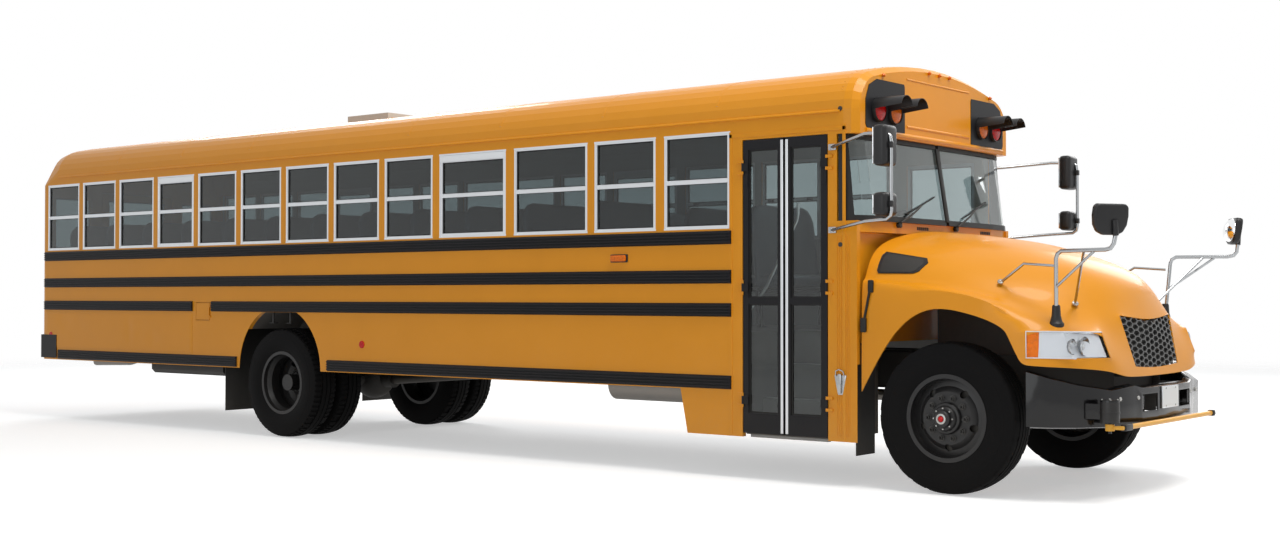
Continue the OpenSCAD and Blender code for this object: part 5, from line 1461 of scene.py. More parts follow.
            ends.append(place if hit else p)
        strap = []
        for p, size in ((ends[0], 0.03), (ends[1], 0.034)):
            strap.append(block(p + Vector((-size * 0.7, -0.022, -size * 1.5)),
                               p + Vector((size * 0.7, 0.002, size * 1.5)), 0.009, 3))
        strap.append(pipe([ends[0] + Vector((0, -0.016, 0)), ends[0].lerp(ends[1], 0.5) + Vector((0, -0.012, 0)),
                           ends[1] + Vector((0, -0.016, 0))], 0.009))
        finish_piece(both(strap), "hood_latches", "seal", "hood")


class BUS_OT_mirrors(bpy.types.Operator):
    """Model the side mirrors and the cross-view mirrors"""
    bl_idname = "bus.mirrors"
    bl_label = "Mirrors"

    def execute(self, context):
        self.side()
        self.cross_view()
        return {"FINISHED"}

    def side(self):
        y = SIDE_Y
        fx = FRONT_X
        line = [(-0.86, 0.014, 2.435), (-0.80, 0.06, 2.440), (-0.42, 0.30, 2.480), (-0.24, 0.325, 2.474),
                (-0.208, 0.326, 2.452), (-0.20, 0.326, 2.40), (-0.20, 0.326, 1.95), (-0.208, 0.326, 1.91),
                (-0.24, 0.322, 1.888), (-0.42, 0.29, 1.880), (-0.80, 0.06, 1.844), (-0.86, 0.014, 1.839)]
        arm = pipe([(fx + a, y + b, c) for a, b, c in line], 0.0125, 4)
        feet, clamps, heads, glass = [], [], [], []
        for z in (2.425, 1.829):
            feet.append(block((fx - 0.895, y - 0.001, z - 0.012), (fx - 0.83, y + 0.014, z + 0.034), 0.004, 2))
            feet.append(bar((fx - 0.862, y + 0.012, z - 0.006), (fx - 0.862, y + 0.012, z + 0.026), 0.014, 16, 0.002))
        for z0, z1 in ((2.25, 2.53), (1.91, 2.07)):
            heads.append(block((fx - 0.315, y + 0.205, z0), (fx - 0.215, y + 0.388, z1), 0.03, 4))
            glass.append(block((fx - 0.319, y + 0.22, z0 + 0.016), (fx - 0.312, y + 0.374, z1 - 0.016), 0.002, 2))
            middle = (z0 + z1) / 2
            clamps.append(block((fx - 0.225, y + 0.31, middle - 0.022), (fx - 0.185, y + 0.342, middle + 0.022), 0.005,
                                2))
        metal = both(feet + [arm])
        made = finish_piece(metal, "side_mirror_arms", "chrome")
        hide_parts("side_mirrors")
        finish_piece(both(heads + clamps), "side_mirror_heads", "plastic")
        finish_piece(both(glass), "side_mirror_glass", "mirror")

    def cross_view(self):
        fx = FRONT_X
        feet = []
        skin = bpy.data.objects["hood_skin"]

        def on_hood(x, y):
            hit, place, normal, _ = skin.ray_cast(Vector((x, y, 2.5)), Vector((0, 0, -1)))
            if not hit:
                raise RuntimeError("no hood under the mirror foot")
            return place, normal

        foot, _ = on_hood(fx + 0.735, 1.0)
        side, n1 = on_hood(fx + 0.30, 0.93)
        front, n2 = on_hood(fx + 0.75, 0.74)
        top = Vector((fx + 0.757, 1.05, 1.645))
        line = [foot + Vector((0, 0, 0.03)), top - Vector((0, 0, 0.03)), top + Vector((0.012, 0.002, 0)),
                (fx + 0.80, 1.06, 1.664), (fx + 1.15, 1.183, 1.664), (fx + 1.19, 1.193, 1.672),
                (fx + 1.212, 1.196, 1.70), (fx + 1.222, 1.19, 1.76)]
        posts = [pipe(line, 0.014, 4),
                 pipe([side + n1 * 0.01, (fx + 0.5, 0.985, 1.585), (fx + 0.728, 1.03, 1.568)], 0.0095),
                 pipe([front + n2 * 0.01, (fx + 0.98, 1.12, 1.655)], 0.0095),
                 pipe([(fx + 0.76, 1.045, 1.43), (fx + 1.06, 1.15, 1.655)], 0.0095)]
        for p, n in ((side, n1), (front, n2)):
            feet.append(lathe([(-0.004, 0), (-0.004, 0.03), (0.006, 0.028), (0.02, 0.014), (0.028, 0.012), (0.028, 0)],
                              p, n, 24))
        boot = lathe([(-0.03, 0), (-0.03, 0.052), (-0.004, 0.052), (0.01, 0.04), (0.05, 0.03), (0.11, 0.027),
                      (0.12, 0.022), (0.12, 0)], foot, (0, 0, 1), 24)
        # The head is a wide shell with a flat top, and its mirror bulges to the rear
        outline = [(-0.122, 0.075), (-0.104, 0.096), (0.104, 0.096), (0.122, 0.075), (0.126, 0.02), (0.118, -0.04),
                   (0.092, -0.085), (0.05, -0.104), (-0.05, -0.104), (-0.092, -0.085), (-0.118, -0.04), (-0.126, 0.02)]
        place = Matrix.Translation((fx + 1.177, 1.196, 1.862)) @ Matrix.Rotation(math.radians(34), 4, "Z") \
            @ Matrix.Rotation(math.radians(8), 4, "Y")
        head = sheet_of([(-0.01, a, b) for a, b in outline], (0.052, 0, 0), 0.024, 4)
        head.data.transform(place)
        pane = add(bpy.ops.mesh.primitive_uv_sphere_add, (0.06, 0.116, 0.09), segments=40, ring_count=24, radius=1)
        halved(pane, (0, 0, 0), (1, 0, 0), clear_outer=True, use_fill=True)
        pane.data.transform(place)
        stem = bar((fx + 1.222, 1.19, 1.752), (fx + 1.222, 1.206, 1.85), 0.02, 20, 0.003)
        made = finish_piece(both(posts), "crossview_posts", "chrome", "hood")
        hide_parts("crossview_mirrors")
        finish_piece(both(feet), "crossview_feet", "zinc", "hood")
        finish_piece(both([boot, stem, head]), "crossview_heads", "plastic", "hood")
        finish_piece(both(pane), "crossview_glass", "mirror", "hood")


# ------------------------------------------------------------------ bumpers and signal arms

class BUS_OT_bumpers(bpy.types.Operator):
    """Model the bumpers' details, the number plates, the stop sign and the crossing arm"""
    bl_idname = "bus.bumpers"
    bl_label = "Bumpers and arms"

    def execute(self, context):
        self.front()
        self.front_details()
        self.rear()
        self.stop_sign()
        self.crossing_arm()
        return {"FINISHED"}

    def front(self):
        """The front bumper's own mesh with its plan curve smoothed."""
        bumper = merged_copy("front_bumper", "front_bumper_skin")
        edit(bumper)
        bpy.ops.mesh.tris_convert_to_quads(face_threshold=math.radians(40), shape_threshold=math.radians(60))
        bpy.ops.object.mode_set(mode="OBJECT")
        rounded(bumper, 0.004, 2, 50)
        finish_piece(bumper, "front_bumper_skin", "black_gloss", smooth=40)
        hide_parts("front_bumper")

    def front_details(self):
        fx = FRONT_X
        plate = block((fx + 1.128, -0.153, 0.59), (fx + 1.1375, 0.153, 0.742), 0.002, 2)
        face = block((fx + 1.1372, -0.145, 0.598), (fx + 1.1382, 0.145, 0.734), 0.0, 0)
        screws = [bar((fx + 1.136, y, z), (fx + 1.141, y, z), 0.007, 12, 0.001) for y in (-0.09, 0.09)
                  for z in (0.605, 0.727)]
        finish_piece(plate, "front_plate_rim", "aluminium")
        finish_piece(face, "front_plate_face", "sign_white")
        liners = []
        for y in (0.2, 0.452):
            liners.append(block((fx + 1.0, y - 0.003, 0.575), (fx + 1.106, y + 0.003, 0.705), 0.0015, 1))
        liners.append(block((fx + 1.0, 0.2, 0.7), (fx + 1.106, 0.452, 0.706), 0.0015, 1))
        finish_piece(both(liners), "tow_slot_liners", "chassis")
        drive = Vector((fx + 1.085, -0.96, 0))
        cover = lathe([(0.0, 0.0), (0.0, 0.062), (0.012, 0.0635), (0.135, 0.0635), (0.146, 0.058), (0.15, 0.04),
                       (0.151, 0.0)], drive + Vector((0, 0, 0.538)), (0, 0, 1), 40)
        band = lathe([(0.0, 0.0), (0.0, 0.066), (0.012, 0.066), (0.012, 0.0)], drive + Vector((0, 0, 0.6)), (0, 0, 1),
                     40)
        finish_piece([cover, band], "arm_drive_cover", "plastic")
        bolts = [bar(drive + Vector((0.05 * math.cos(a), 0.05 * math.sin(a), 0.686)),
                     drive + Vector((0.05 * math.cos(a), 0.05 * math.sin(a), 0.694)), 0.006, 6, 0.001)
                 for a in (0.5, 2.0, 3.6, 5.2)]
        for y in (-0.72, -0.5, 0.5, 0.72):
            spot = surface("front_bumper", (fx + 2, y, 0.68), (-1, 0, 0))
            bolts.append(lathe([(-0.003, 0), (-0.003, 0.015), (0.003, 0.0145), (0.008, 0.008), (0.009, 0)], spot,
                               (1, 0, 0), 16))
        finish_piece(bolts + screws, "bumper_bolts", "zinc")

    def rear(self):
        """The rear bumper's bolts, and the number plate with its lamp."""
        lo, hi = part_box("rear_bumper")
        bolts = []
        for y in (-0.95, -0.45, 0.45, 0.95):
            for z in (lo.z + 0.07, hi.z - 0.07):
                bolts.append(lathe([(-0.003, 0), (-0.003, 0.015), (0.0, 0.015), (0.001, 0.009), (0.001, 0)],
                                   (lo.x, y, z), (-1, 0, 0), 16))
        finish_piece(bolts, "rear_bumper_bolts", "zinc")
        plate = block((BACK_X - 0.008, -0.855, 1.30), (BACK_X + 0.002, -0.55, 1.452), 0.002, 2)
        finish_piece(plate, "rear_plate", "sign_white")
        shade = block((BACK_X - 0.03, -0.745, 1.455), (BACK_X + 0.002, -0.66, 1.48), 0.006, 3)
        finish_piece(shade, "plate_lamp", "plastic")

    def stop_sign(self):
        """White border, blank face and a pair of lamps on both sides of the sign."""
        lo, hi = solid_boxes("stop_arm")[0]
        z = (lo.z + hi.z) / 2
        r = (hi.z - lo.z) / 2
        x = lo.x + r
        y1 = surface("stop_arm", (x, 3, z), (0, -1, 0)).y
        y0 = surface("stop_arm", (x, SIDE_Y + 0.005, z), (0, 1, 0)).y
        rims, lamps, domes = [], [], []
        for face, out in ((y1, 1), (y0, -1)):
            ring = add(bpy.ops.mesh.primitive_circle_add, vertices=8, fill_type="NGON",
                       radius=(r - 0.002) / math.cos(math.radians(22.5)))
            for step in (Matrix.Rotation(math.radians(22.5), 4, "Z"), Matrix.Rotation(math.radians(90), 4, "X"),
                         Matrix.Translation((x, face, z))):
                ring.data.transform(step)
            rims.append(open_ring(ring, 0.017, (0, out * 0.0008, 0)))
            for dz in (-0.155, 0.155):
                c = Vector((x, face, z + dz))
                lamps.append(lathe([(-0.001, 0.0), (-0.001, 0.049), (0.014, 0.049), (0.017, 0.044), (0.014, 0.042),
                                    (0.0, 0.042)], c, (0, out, 0), 36))
                domes.append(lathe([(0.002, 0.0), (0.002, 0.0425), (0.012, 0.0425), (0.022, 0.036), (0.029, 0.02),
                                    (0.031, 0.0)], c, (0, out, 0), 32))
        finish_piece(rims, "stop_sign_border", "sign_white", "stop_arm")
        finish_piece(lamps, "stop_lamp_rings", "plastic", "stop_arm")
        finish_piece(domes, "stop_lamp_domes", "red", "stop_arm")

    def crossing_arm(self):
        """The crossing arm's tube, the sleeve at its pivot, and the clamp and magnet at its free end."""
        lo, hi = solid_boxes("crossing_arm")[0]
        z = (lo.z + hi.z) / 2
        end = hi.y
        x = hi.x - 0.013
        start = lo.y + 0.075
        tube = pipe([(x, start + 0.09, z), (x, end - 0.03, z)], 0.0175, 4)
        finish_piece(tube, "crossing_arm_tube", "arm", "crossing_arm")
        sleeve = block((x - 0.021, start - 0.02, z - 0.021), (x + 0.021, start + 0.1, z + 0.021), 0.006, 3)
        clamp = block((x - 0.022, end - 0.045, z - 0.022), (x + 0.022, end - 0.002, z + 0.022), 0.006, 3)
        magnet = lathe([(0.0, 0.0), (0.0, 0.014), (0.007, 0.014), (0.008, 0.0)], (x + 0.02, end - 0.025, z), (1, 0, 0),
                       20)
        finish_piece([sleeve, clamp, magnet], "crossing_arm_clamp", "plastic", "crossing_arm")


# ------------------------------------------------------------------ doors and rear end

class BUS_OT_entrance(bpy.types.Operator):
    """Add the entrance's seals, bright strips, hinge leaves, steps and handrails"""
    bl_idname = "bus.entrance"
    bl_label = "Entrance"

    CABIN_FLOOR = 1.2  # steps end below this height
    MIN_TREAD = 0.08  # a flat place less deep than this isn't a step

    def execute(self, context):
        y = -SIDE_Y
        for part, sign in (("front", 1), ("rear", -1)):
            body = "entrance_leaf_" + part
            lo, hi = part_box(body)
            inner = lo.x if sign > 0 else hi.x
            a, b = sorted((inner + sign * 0.003, inner + sign * 0.026))
            strip = block((a, y - 0.0035, lo.z + 0.01), (b, y + 0.002, hi.z - 0.01), 0.003, 2)
            finish_piece(strip, "door_strip_" + part, "aluminium", body)
            seals = []
            for glo, ghi in solid_boxes("entrance_glass_" + part):
                grow = Vector((0.004, 0, 0.004))
                seals.append(frame_ring(glo - grow, ghi + grow, 0.016, glo.y + 0.001, glo.y - 0.006))
                seals.append(frame_ring(glo - grow, ghi + grow, 0.014, ghi.y - 0.001, ghi.y + 0.005))
            hinge = []
            outer = hi.x if sign > 0 else lo.x
            for z in (lo.z + 0.25, (lo.z + hi.z) / 2, hi.z - 0.3):
                a, b = sorted((outer - sign * 0.012, outer - sign * 0.05))
                hinge.append(block((a, y - 0.004, z - 0.05), (b, y + 0.002, z + 0.05), 0.002, 2))
            finish_piece(seals, "door_seals_" + part, "seal", body)
            finish_piece(hinge, "door_hinge_leaves_" + part, "black", body)
        self.steps()
        return {"FINISHED"}

    def steps(self):
        """Grey nosings on the steps, and the handrails inside the doorway."""
        x0, x1 = FRONT_X - 1.62, FRONT_X - 0.94
        nosings, ribs = [], []
        heights = {}
        for k in range(90):
            y = -SIDE_Y + 0.05 + 0.01 * k
            place = meet("floor", ((x0 + x1) / 2, y, 1.5), (0, 0, -1))
            if place is not None:
                heights.setdefault(round(place.z, 3), []).append(y)
        for z, ys in sorted(heights.items()):
            a, b = min(ys), max(ys)
            if z > self.CABIN_FLOOR or b - a < self.MIN_TREAD:
                continue
            nosings.append(block((x0, a - 0.006, z - 0.03), (x1, a + 0.04, z + 0.003), 0.004, 2))
            rib = block((x0 + 0.01, a + 0.05, z), (x1 - 0.01, a + 0.058, z + 0.003), 0.001, 1)
            ribs.append(row(rib, max(2, min(16, int((min(b, a + 0.34) - a - 0.05) / 0.018))), (0, 0.018, 0)))
        finish_piece(nosings, "step_nosings", "step")
        finish_piece(ribs, "step_ribs", "floor")
        rails = []
        for x in (FRONT_X - 1.69, FRONT_X - 0.875):
            rails.append(pipe([(x, -1.13, 1.28), (x, -1.09, 1.24), (x, -0.86, 1.42), (x, -0.55, 1.80), (x, -0.42, 1.96),
                               (x, -0.40, 2.02), (x, -0.40, 2.10)], 0.0125, 3))
        finish_piece(rails, "entrance_handrails", "aluminium")


class BUS_OT_rear_end(bpy.types.Operator):
    """Add the tail lamps, rear window seals, door hardware and seams at the back"""
    bl_idname = "bus.rear_end"
    bl_label = "Rear end"

    def execute(self, context):
        x = BACK_X
        red, amber, clear, rings = [], [], [], []
        for sign in (-1, 1):
            for y, z, r, store in ((0.96, 1.62, 0.088, red), (0.96, 1.40, 0.088, amber), (0.965, 1.21, 0.052, clear),
                                   (0.79, 1.62, 0.052, red)):
                at = (x, sign * y, z)
                store.append(lathe([(0, 0), (0, r * 0.9), (0.014, r * 0.9), (0.022, r * 0.8), (0.026, 0.0)], at,
                                   (-1, 0, 0), 36))
                rings.append(lathe([(0, 0), (0, r), (0.012, r), (0.016, r * 0.95), (0.012, r * 0.9), (0, r * 0.88)], at,
                                   (-1, 0, 0), 36))
            red.append(lathe([(0, 0), (0, 0.034), (0.006, 0.034), (0.009, 0.028), (0.009, 0)],
                             (x, sign * 1.06, 1.04), (-1, 0, 0), 28))
        for node, name, body in (("window_glass", "rear_window_seals", "root"),
                                 ("rear_door_glass", "rear_door_seals", "rear_door")):
            seals = [self.ring(lo, hi, 0.02, face, step) for lo, hi in solid_boxes(node) if hi.x - lo.x <= 0.05
                     for face, step in ((lo.x + 0.001, -0.007), (hi.x - 0.001, 0.006))]
            finish_piece(seals, name, "seal", body)
        finish_piece(red, "tail_lenses_red", "red")
        finish_piece(amber, "tail_lenses_amber", "amber")
        finish_piece(clear, "reverse_lenses", "white_lens")
        finish_piece(rings, "tail_lamp_rings", "seal")
        lo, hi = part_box("rear_door")
        face = surface("rear_door", (lo.x - 0.1, 0, lo.z + 0.05), (1, 0, 0)).x
        # A plate on the door, a post and a sleeve over the grip bar
        handle = [block((face - 0.006, hi.y - 0.15, 1.72), (face + 0.001, hi.y - 0.05, 1.85), 0.004, 3),
                  block((lo.x + 0.004, hi.y - 0.113, 1.767), (face, hi.y - 0.087, 1.803), 0.002, 2),
                  block((lo.x - 0.002, hi.y - 0.264, 1.766), (lo.x + 0.011, hi.y - 0.086, 1.804), 0.005, 3)]
        finish_piece(handle, "rear_door_handle", "zinc", "rear_door")
        hinges = []
        for z in (1.25, 1.80, 2.35):
            hinges.append(block((face - 0.004, 0.014 - hi.y, z - 0.04), (face + 0.001, 0.11 - hi.y, z + 0.04),
                                0.0015, 2))
            hinges += [rivet_at((face - 0.004, y - hi.y, z + dz), (1, 0, 0), 0.006) for y in (0.04, 0.085)
                       for dz in (-0.022, 0.022)]
        finish_piece(hinges, "rear_door_hinge_leaves", "paint", "rear_door")
        edge = []
        for a, b in (((lo.y - 0.012, lo.z - 0.01), (lo.y - 0.003, hi.z + 0.012)),
                     ((hi.y + 0.003, lo.z - 0.01), (hi.y + 0.012, hi.z + 0.012)),
                     ((lo.y - 0.012, hi.z + 0.003), (hi.y + 0.012, hi.z + 0.014))):
            edge.append(block((x - 0.006, a[0], a[1]), (x + 0.001, b[0], b[1]), 0.002, 1))
        finish_piece(edge, "rear_door_gasket", "seal")
        rows = []
        for z in (0.98, 1.84, 2.56):
            for sign in (-1, 1):
                rivet = rivet_at((x, sign * (hi.y + 0.06), z), (1, 0, 0), 0.0055)
                rows.append(row(rivet, 7, (0, sign * 0.085, 0)))
        finish_piece(rows, "rear_wall_rivets", "paint")
        return {"FINISHED"}

    def ring(self, lo, hi, wide, x0, step):
        """A flat rectangular ring round a pane that faces the rear."""
        obj = add(bpy.ops.mesh.primitive_plane_add, (hi.z - lo.z + 0.016, hi.y - lo.y + 0.016, 1), size=1,
                  location=(x0, (lo.y + hi.y) / 2, (lo.z + hi.z) / 2), rotation=(0, math.radians(90), 0))
        return open_ring(obj, wide, (step, 0, 0))


# ------------------------------------------------------------------ roof and underside

class BUS_OT_roof(bpy.types.Operator):
    """Add the hatch's crown and the roof's seams"""
    bl_idname = "bus.roof"
    bl_label = "Roof"

    def execute(self, context):
        lo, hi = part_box("roof_hatch")
        z = hi.z
        dome = block((lo.x + 0.04, lo.y + 0.04, z - 0.006), (hi.x - 0.04, hi.y - 0.04, z + 0.0006), 0.003, 2)
        ribs = [block((lo.x + 0.1, y - 0.012, z - 0.004), (hi.x - 0.1, y + 0.012, z + 0.0018), 0.001, 2)
                for y in (lo.y + 0.15, (lo.y + hi.y) / 2, hi.y - 0.15)]
        finish_piece([dome] + ribs, "hatch_crown", "hatch", "roof_hatch")
        bows = []
        rlo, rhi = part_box("roof")
        count = 9
        for k in range(1, count):
            x = rlo.x + (rhi.x - rlo.x) * k / count
            if lo.x - 0.1 < x < hi.x + 0.1:
                continue
            line = []
            for j in range(-16, 17):
                y = rhi.y * 0.985 * math.sin(math.radians(5.5 * j))
                line.append(on_roof(x, y) - Vector((0, 0, 0.001)))
            obj = trail(line)
            extrude((0.022, 0, 0))
            bpy.ops.object.mode_set(mode="OBJECT")
            bows.append(thickened(obj, 0.005))
        finish_piece(bows, "roof_seams", "paint_roof")
        return {"FINISHED"}


# ------------------------------------------------------------------ cabin

CLOTH_FRAMES = 20


def puffed(obj, voxel, cap):
    """Fill a closed shape like a cushion by cloth simulation. Stands still when simulations are skipped."""
    modified(obj, "REMESH", mode="VOXEL", voxel_size=voxel)
    if not bpy.context.scene.bus_seats.puff:
        return obj
    before = [v.co.copy() for v in obj.data.vertices]
    c = obj.modifiers.new("fill", "CLOTH")
    s = c.settings
    s.quality, s.mass, s.time_scale = 5, 0.3, 1.0
    s.use_pressure, s.uniform_pressure_force = True, 4.0
    s.tension_stiffness = s.compression_stiffness = 15
    s.bending_stiffness = 0.6
    s.effector_weights.gravity = 0
    c.point_cache.frame_start, c.point_cache.frame_end = 1, CLOTH_FRAMES
    for f in range(1, CLOTH_FRAMES + 1):
        bpy.context.scene.frame_set(f)
    pick(obj)
    bpy.ops.object.modifier_apply(modifier=c.name)
    bpy.context.scene.frame_set(1)
    for v, a in zip(obj.data.vertices, before):
        step = v.co - a
        if step.length > cap:
            v.co = a + step * (cap / step.length)
    return obj


def fit_inside(obj, lo, hi):
    """Scale the mesh so that it fills a box."""
    points = np.empty(len(obj.data.vertices) * 3)
    obj.data.vertices.foreach_get("co", points)
    points = points.reshape(-1, 3)
    low, high = points.min(0), points.max(0)
    goal_lo, goal_hi = np.array(lo), np.array(hi)
    points = (points - low) / (high - low) * (goal_hi - goal_lo) + goal_lo
    obj.data.vertices.foreach_set("co", points.reshape(-1))
    obj.data.update()
    return obj


class BUS_OT_benches(bpy.types.Operator):
    """Model the passengers' benches"""
    bl_idname = "bus.benches"
    bl_label = "Benches"

    def execute(self, context):
        boxes = solid_boxes("seats")
        lo, hi = boxes[0]
        wide = hi.y - lo.y
        cushion = self.cushion(wide)
        back = self.back(wide, context.scene.bus_seats.corner)
        frame_bars = self.frame(wide)
        cushions, backs, bars = [], [], []
        for lo, hi in boxes:
            for part, store in ((cushion, cushions), (back, backs), (frame_bars, bars)):
                store.append(copy_of(part, move=(hi.x, lo.y, lo.z)))
        for part in (cushion, back, frame_bars):
            bpy.data.objects.remove(part)
        cushions = finish_piece(cushions, "bench_cushions", "vinyl", smooth=60)
        backs = finish_piece(backs, "bench_backs", "vinyl", smooth=60)
        finish_piece(bars, "bench_frames", "chassis")
        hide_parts("seats")
        return {"FINISHED"}

    def cushion(self, wide):
        """The seat's cushion, front lower corner of the bench's box at the origin."""
        obj = block((-0.392, 0.006, 0.336), (-0.004, wide - 0.006, 0.438), 0.03, 3)
        puffed(obj, 0.02, 0.014)
        modified(obj, "SUBSURF", levels=1)
        fit_inside(obj, (-0.398, 0.004, 0.332), (-0.002, wide - 0.004, 0.449))
        return obj

    def back(self, wide, corner):
        """The seat's padded back with rounded upper corners, leaning to the rear."""
        r = corner
        points = [(0, 0.33), (0, 1.06 - r)]
        for k in range(1, 7):
            a = math.radians(90 * k / 6)
            points.append((r - r * math.cos(a), 1.06 - r + r * math.sin(a)))
        outline = points + [(wide - y, z) for y, z in reversed(points)]
        inset = 0.006
        obj = sheet_of([(-0.47, inset + y * (wide - 2 * inset) / wide, z) for y, z in outline], (0.062, 0, 0), 0.022, 3)
        puffed(obj, 0.022, 0.012)
        modified(obj, "SUBSURF", levels=1)
        fit_inside(obj, (-0.478, 0.004, 0.33), (-0.398, wide - 0.004, 1.056))
        for v in obj.data.vertices:
            v.co.x += 0.08 - 0.1 * (v.co.z - 0.33) / 0.73
        return obj

    def frame(self, wide):
        """The steel legs and rails under a bench."""
        bars = []
        y0, y1 = 0.03, wide - 0.03
        bars.append(pipe([(-0.34, y0, 0.006), (-0.34, y0, 0.3), (-0.34, y1 - 0.2, 0.318)], 0.0125))
        bars.append(pipe([(-0.08, y0, 0.006), (-0.08, y0, 0.3), (-0.08, y1 - 0.2, 0.318)], 0.0125))
        for x in (-0.34, -0.08):
            bars.append(pipe([(x, y1, 0.006), (x, y1, 0.318)], 0.0125))
            bars.append(block((x - 0.035, y0 - 0.02, 0.0), (x + 0.035, y0 + 0.03, 0.006), 0.0))
        bars.append(block((-0.38, 0.012, 0.316), (-0.02, wide - 0.012, 0.336), 0.004, 2))
        return join(bars)


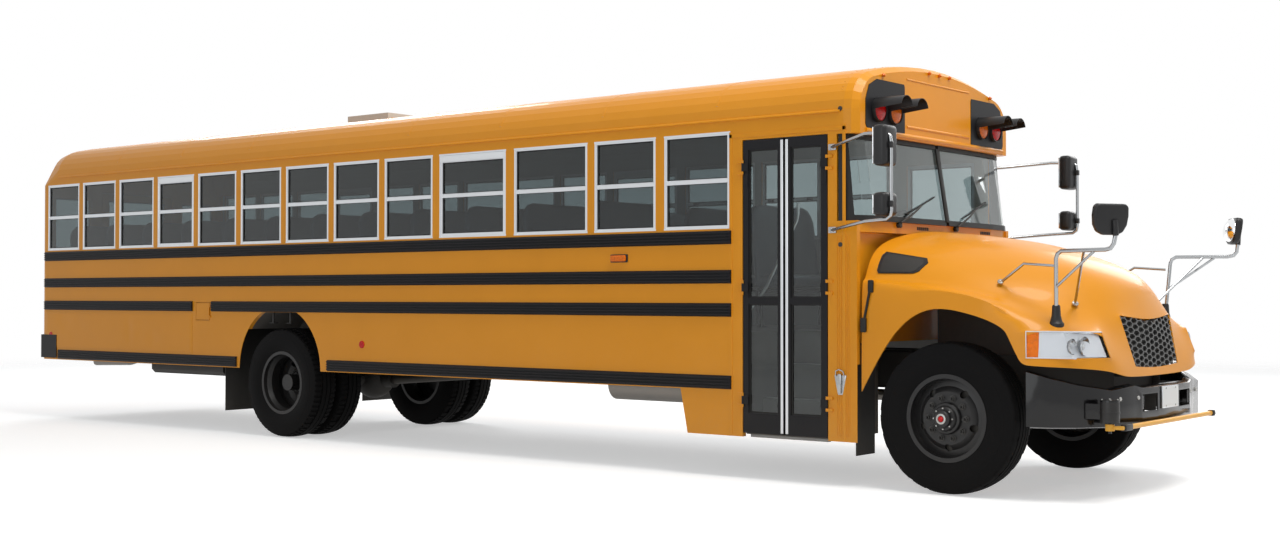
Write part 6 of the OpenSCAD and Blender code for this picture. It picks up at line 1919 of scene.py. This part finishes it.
class BUS_OT_cabin(bpy.types.Operator):
    """Model the driver's seat, the dashboard's controls and the steering wheel"""
    bl_idname = "bus.cabin"
    bl_label = "Driver's place"

    def execute(self, context):
        self.driver_seat()
        self.dashboard()
        self.wheel()
        self.ceiling()
        return {"FINISHED"}

    def driver_seat(self):
        lo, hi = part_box("driver_seat")
        y0, y1 = lo.y, hi.y
        base_top = lo.z + 0.36
        cushion = block((lo.x + 0.06, y0 + 0.02, base_top), (hi.x - 0.02, y1 - 0.02, base_top + 0.11), 0.035, 3)
        puffed(cushion, 0.014, 0.014)
        back = sheet_of([(lo.x + 0.10, y0 + 0.02, base_top + 0.07), (lo.x + 0.02, y0 + 0.035, hi.z - 0.12),
                         (lo.x + 0.015, y0 + 0.09, hi.z - 0.02), (lo.x + 0.015, y1 - 0.09, hi.z - 0.02),
                         (lo.x + 0.02, y1 - 0.035, hi.z - 0.12), (lo.x + 0.10, y1 - 0.02, base_top + 0.07)],
                        (0.09, 0, 0), 0.03, 3)
        puffed(back, 0.014, 0.014)
        for obj, name in ((cushion, "driver_cushion"), (back, "driver_back")):
            low, high = span_of(modified(obj, "SUBSURF", levels=1))
            low = Vector([max(low[i], (lo.x, y0, lo.z)[i] + 0.003) for i in range(3)])
            high = Vector([min(high[i], (hi.x, y1, hi.z)[i] - 0.003) for i in range(3)])
            fit_inside(obj, low, high)
            finish_piece(obj, name, "cloth", smooth=60)
        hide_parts("driver_seat")
        x0, x1 = lo.x + 0.14, hi.x - 0.1
        parts = [block((x0, y0 + 0.12, lo.z + 0.001), (x1, y1 - 0.12, lo.z + 0.03), 0.004, 2),
                 block((x0 + 0.05, y0 + 0.16, lo.z + 0.02), (x1 - 0.05, y1 - 0.16, lo.z + 0.3), 0.02, 2),
                 block((x0 - 0.03, y0 + 0.05, lo.z + 0.3), (x1 + 0.04, y1 - 0.05, base_top), 0.01, 2)]
        finish_piece(parts, "driver_seat_base", "plastic")

    def dashboard(self):
        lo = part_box("dashboard")[0]
        y = JOINTS["steering_wheel_turn"]["pos_m"][1]
        dark, bright = [], []
        x = surface("dashboard", (lo.x - 0.5, y, 1.80), (1, 0, 0)).x
        dark.append(block((x - 0.012, y - 0.19, 1.74), (x + 0.02, y + 0.19, 1.86), 0.012, 3))
        for k, r in ((-0.13, 0.028), (-0.055, 0.042), (0.055, 0.042), (0.13, 0.028)):
            bright.append(lathe([(0.0, r * 0.9), (0.004, r * 0.9), (0.006, r * 0.95), (0.004, r), (0.0, r)],
                                (x - 0.012, y + k, 1.80), (-1, 0, 0), 32))
        for k in range(8):
            yy = lo.y + 0.08 + 0.055 * k
            if yy > y - 0.25:
                break
            dark.append(block((x - 0.01, yy, 1.70), (x + 0.01, yy + 0.032, 1.74), 0.004, 2))
            dark.append(block((x - 0.01, yy, 1.78), (x + 0.01, yy + 0.032, 1.82), 0.004, 2))
        finish_piece(dark, "dash_instruments", "plastic")
        finish_piece(bright, "dash_gauge_rims", "zinc")

    def wheel(self):
        """A steering wheel with a round rim and three spokes in the place of the plain one."""
        joint = JOINTS["steering_wheel_turn"]
        c, axis = Vector(joint["pos_m"]), Vector(joint["axis"]).normalized()
        spots = [v.co - c for v in frame["nodes"]["steering_wheel"].data.vertices]
        along = [d.dot(axis) for d in spots]
        reach = [(d - axis * h).length for d, h in zip(spots, along)]
        far = max(reach)
        tops = [h for h, r in zip(along, reach) if r > far - 0.004]
        rim_at = (min(tops) + max(tops)) / 2
        r = 0.0135
        ring = [(rim_at + r * math.cos(a), far - r + r * math.sin(a)) for a in
                [2 * math.pi * k / 14 for k in range(15)]]
        rim = lathe(ring, c, axis, 72)
        side = axis.cross(Vector((0, 0, 1)).cross(axis)).normalized()
        cross = axis.cross(side).normalized()
        parts = [rim]
        low = min(along)
        hub = c + axis * (rim_at - 0.045)
        parts.append(lathe([(-0.02, 0.0), (-0.02, 0.05), (0.012, 0.052), (0.024, 0.04), (0.028, 0.0)], hub, axis, 32))
        for deg in (90, 210, 330):
            a = math.radians(deg)
            way = cross * math.cos(a) + side * math.sin(a)
            parts.append(pipe([hub + way * 0.03, hub + way * 0.10 + axis * 0.004,
                               c + axis * rim_at + way * (far - r)], 0.0085))
        parts.append(bar(c + axis * low, hub, 0.019, 20))
        made = finish_piece(parts, "steering_wheel_rim", "plastic", "steering_wheel")
        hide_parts("steering_wheel")

    def ceiling(self):
        """Round ceiling lamps in two rows."""
        lamps = []
        lo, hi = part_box("roof")
        for k in range(7):
            x = lo.x + 1.0 + k * (hi.x - lo.x - 2.0) / 6
            for y in (-0.45, 0.45):
                place = surface("roof", (x, y, 2.3), (0, 0, 1))
                lamps.append(lathe([(-0.004, 0), (-0.004, 0.075), (0.012, 0.07), (0.02, 0.045), (0.022, 0)], place,
                                   (0, 0, -1), 24))
        finish_piece(lamps, "ceiling_lamps", "white_lens")


OPERATORS = [
    BUS_OT_finishes, BUS_OT_tyres, BUS_OT_hubs, BUS_OT_rails, BUS_OT_windows, BUS_OT_side_details,
    BUS_OT_front_cap, BUS_OT_windshield, BUS_OT_hood, BUS_OT_mirrors, BUS_OT_bumpers,
    BUS_OT_entrance, BUS_OT_rear_end, BUS_OT_roof, BUS_OT_benches, BUS_OT_cabin, BUS_OT_stage,
]


class BUS_PT_panel(bpy.types.Panel):
    """Lists the settings and the pieces"""
    bl_idname = "BUS_PT_panel"
    bl_label = "Bus"
    bl_space_type = "VIEW_3D"
    bl_region_type = "UI"
    bl_category = "Bus"

    def draw(self, context):
        for name, _ in SETTINGS:
            group_of = getattr(context.scene, name)
            part = self.layout.box()
            for prop in group_of.bl_rna.properties:
                if prop.identifier not in {"name", "rna_type"}:
                    part.prop(group_of, prop.identifier)
        for op in OPERATORS:
            self.layout.operator(op.bl_idname)


def register():
    for name, cls in SETTINGS:
        bpy.utils.register_class(cls)
        setattr(bpy.types.Scene, name, PointerProperty(type=cls))
    for cls in (*OPERATORS, BUS_PT_panel):
        bpy.utils.register_class(cls)


def unregister():
    for cls in (BUS_PT_panel, *reversed(OPERATORS)):
        bpy.utils.unregister_class(cls)
    for name, cls in reversed(SETTINGS):
        delattr(bpy.types.Scene, name)
        bpy.utils.unregister_class(cls)


def main():
    register()
    for op in OPERATORS:
        getattr(bpy.ops.bus, op.bl_idname.split(".")[1])()


if __name__ == "__main__":
    main()
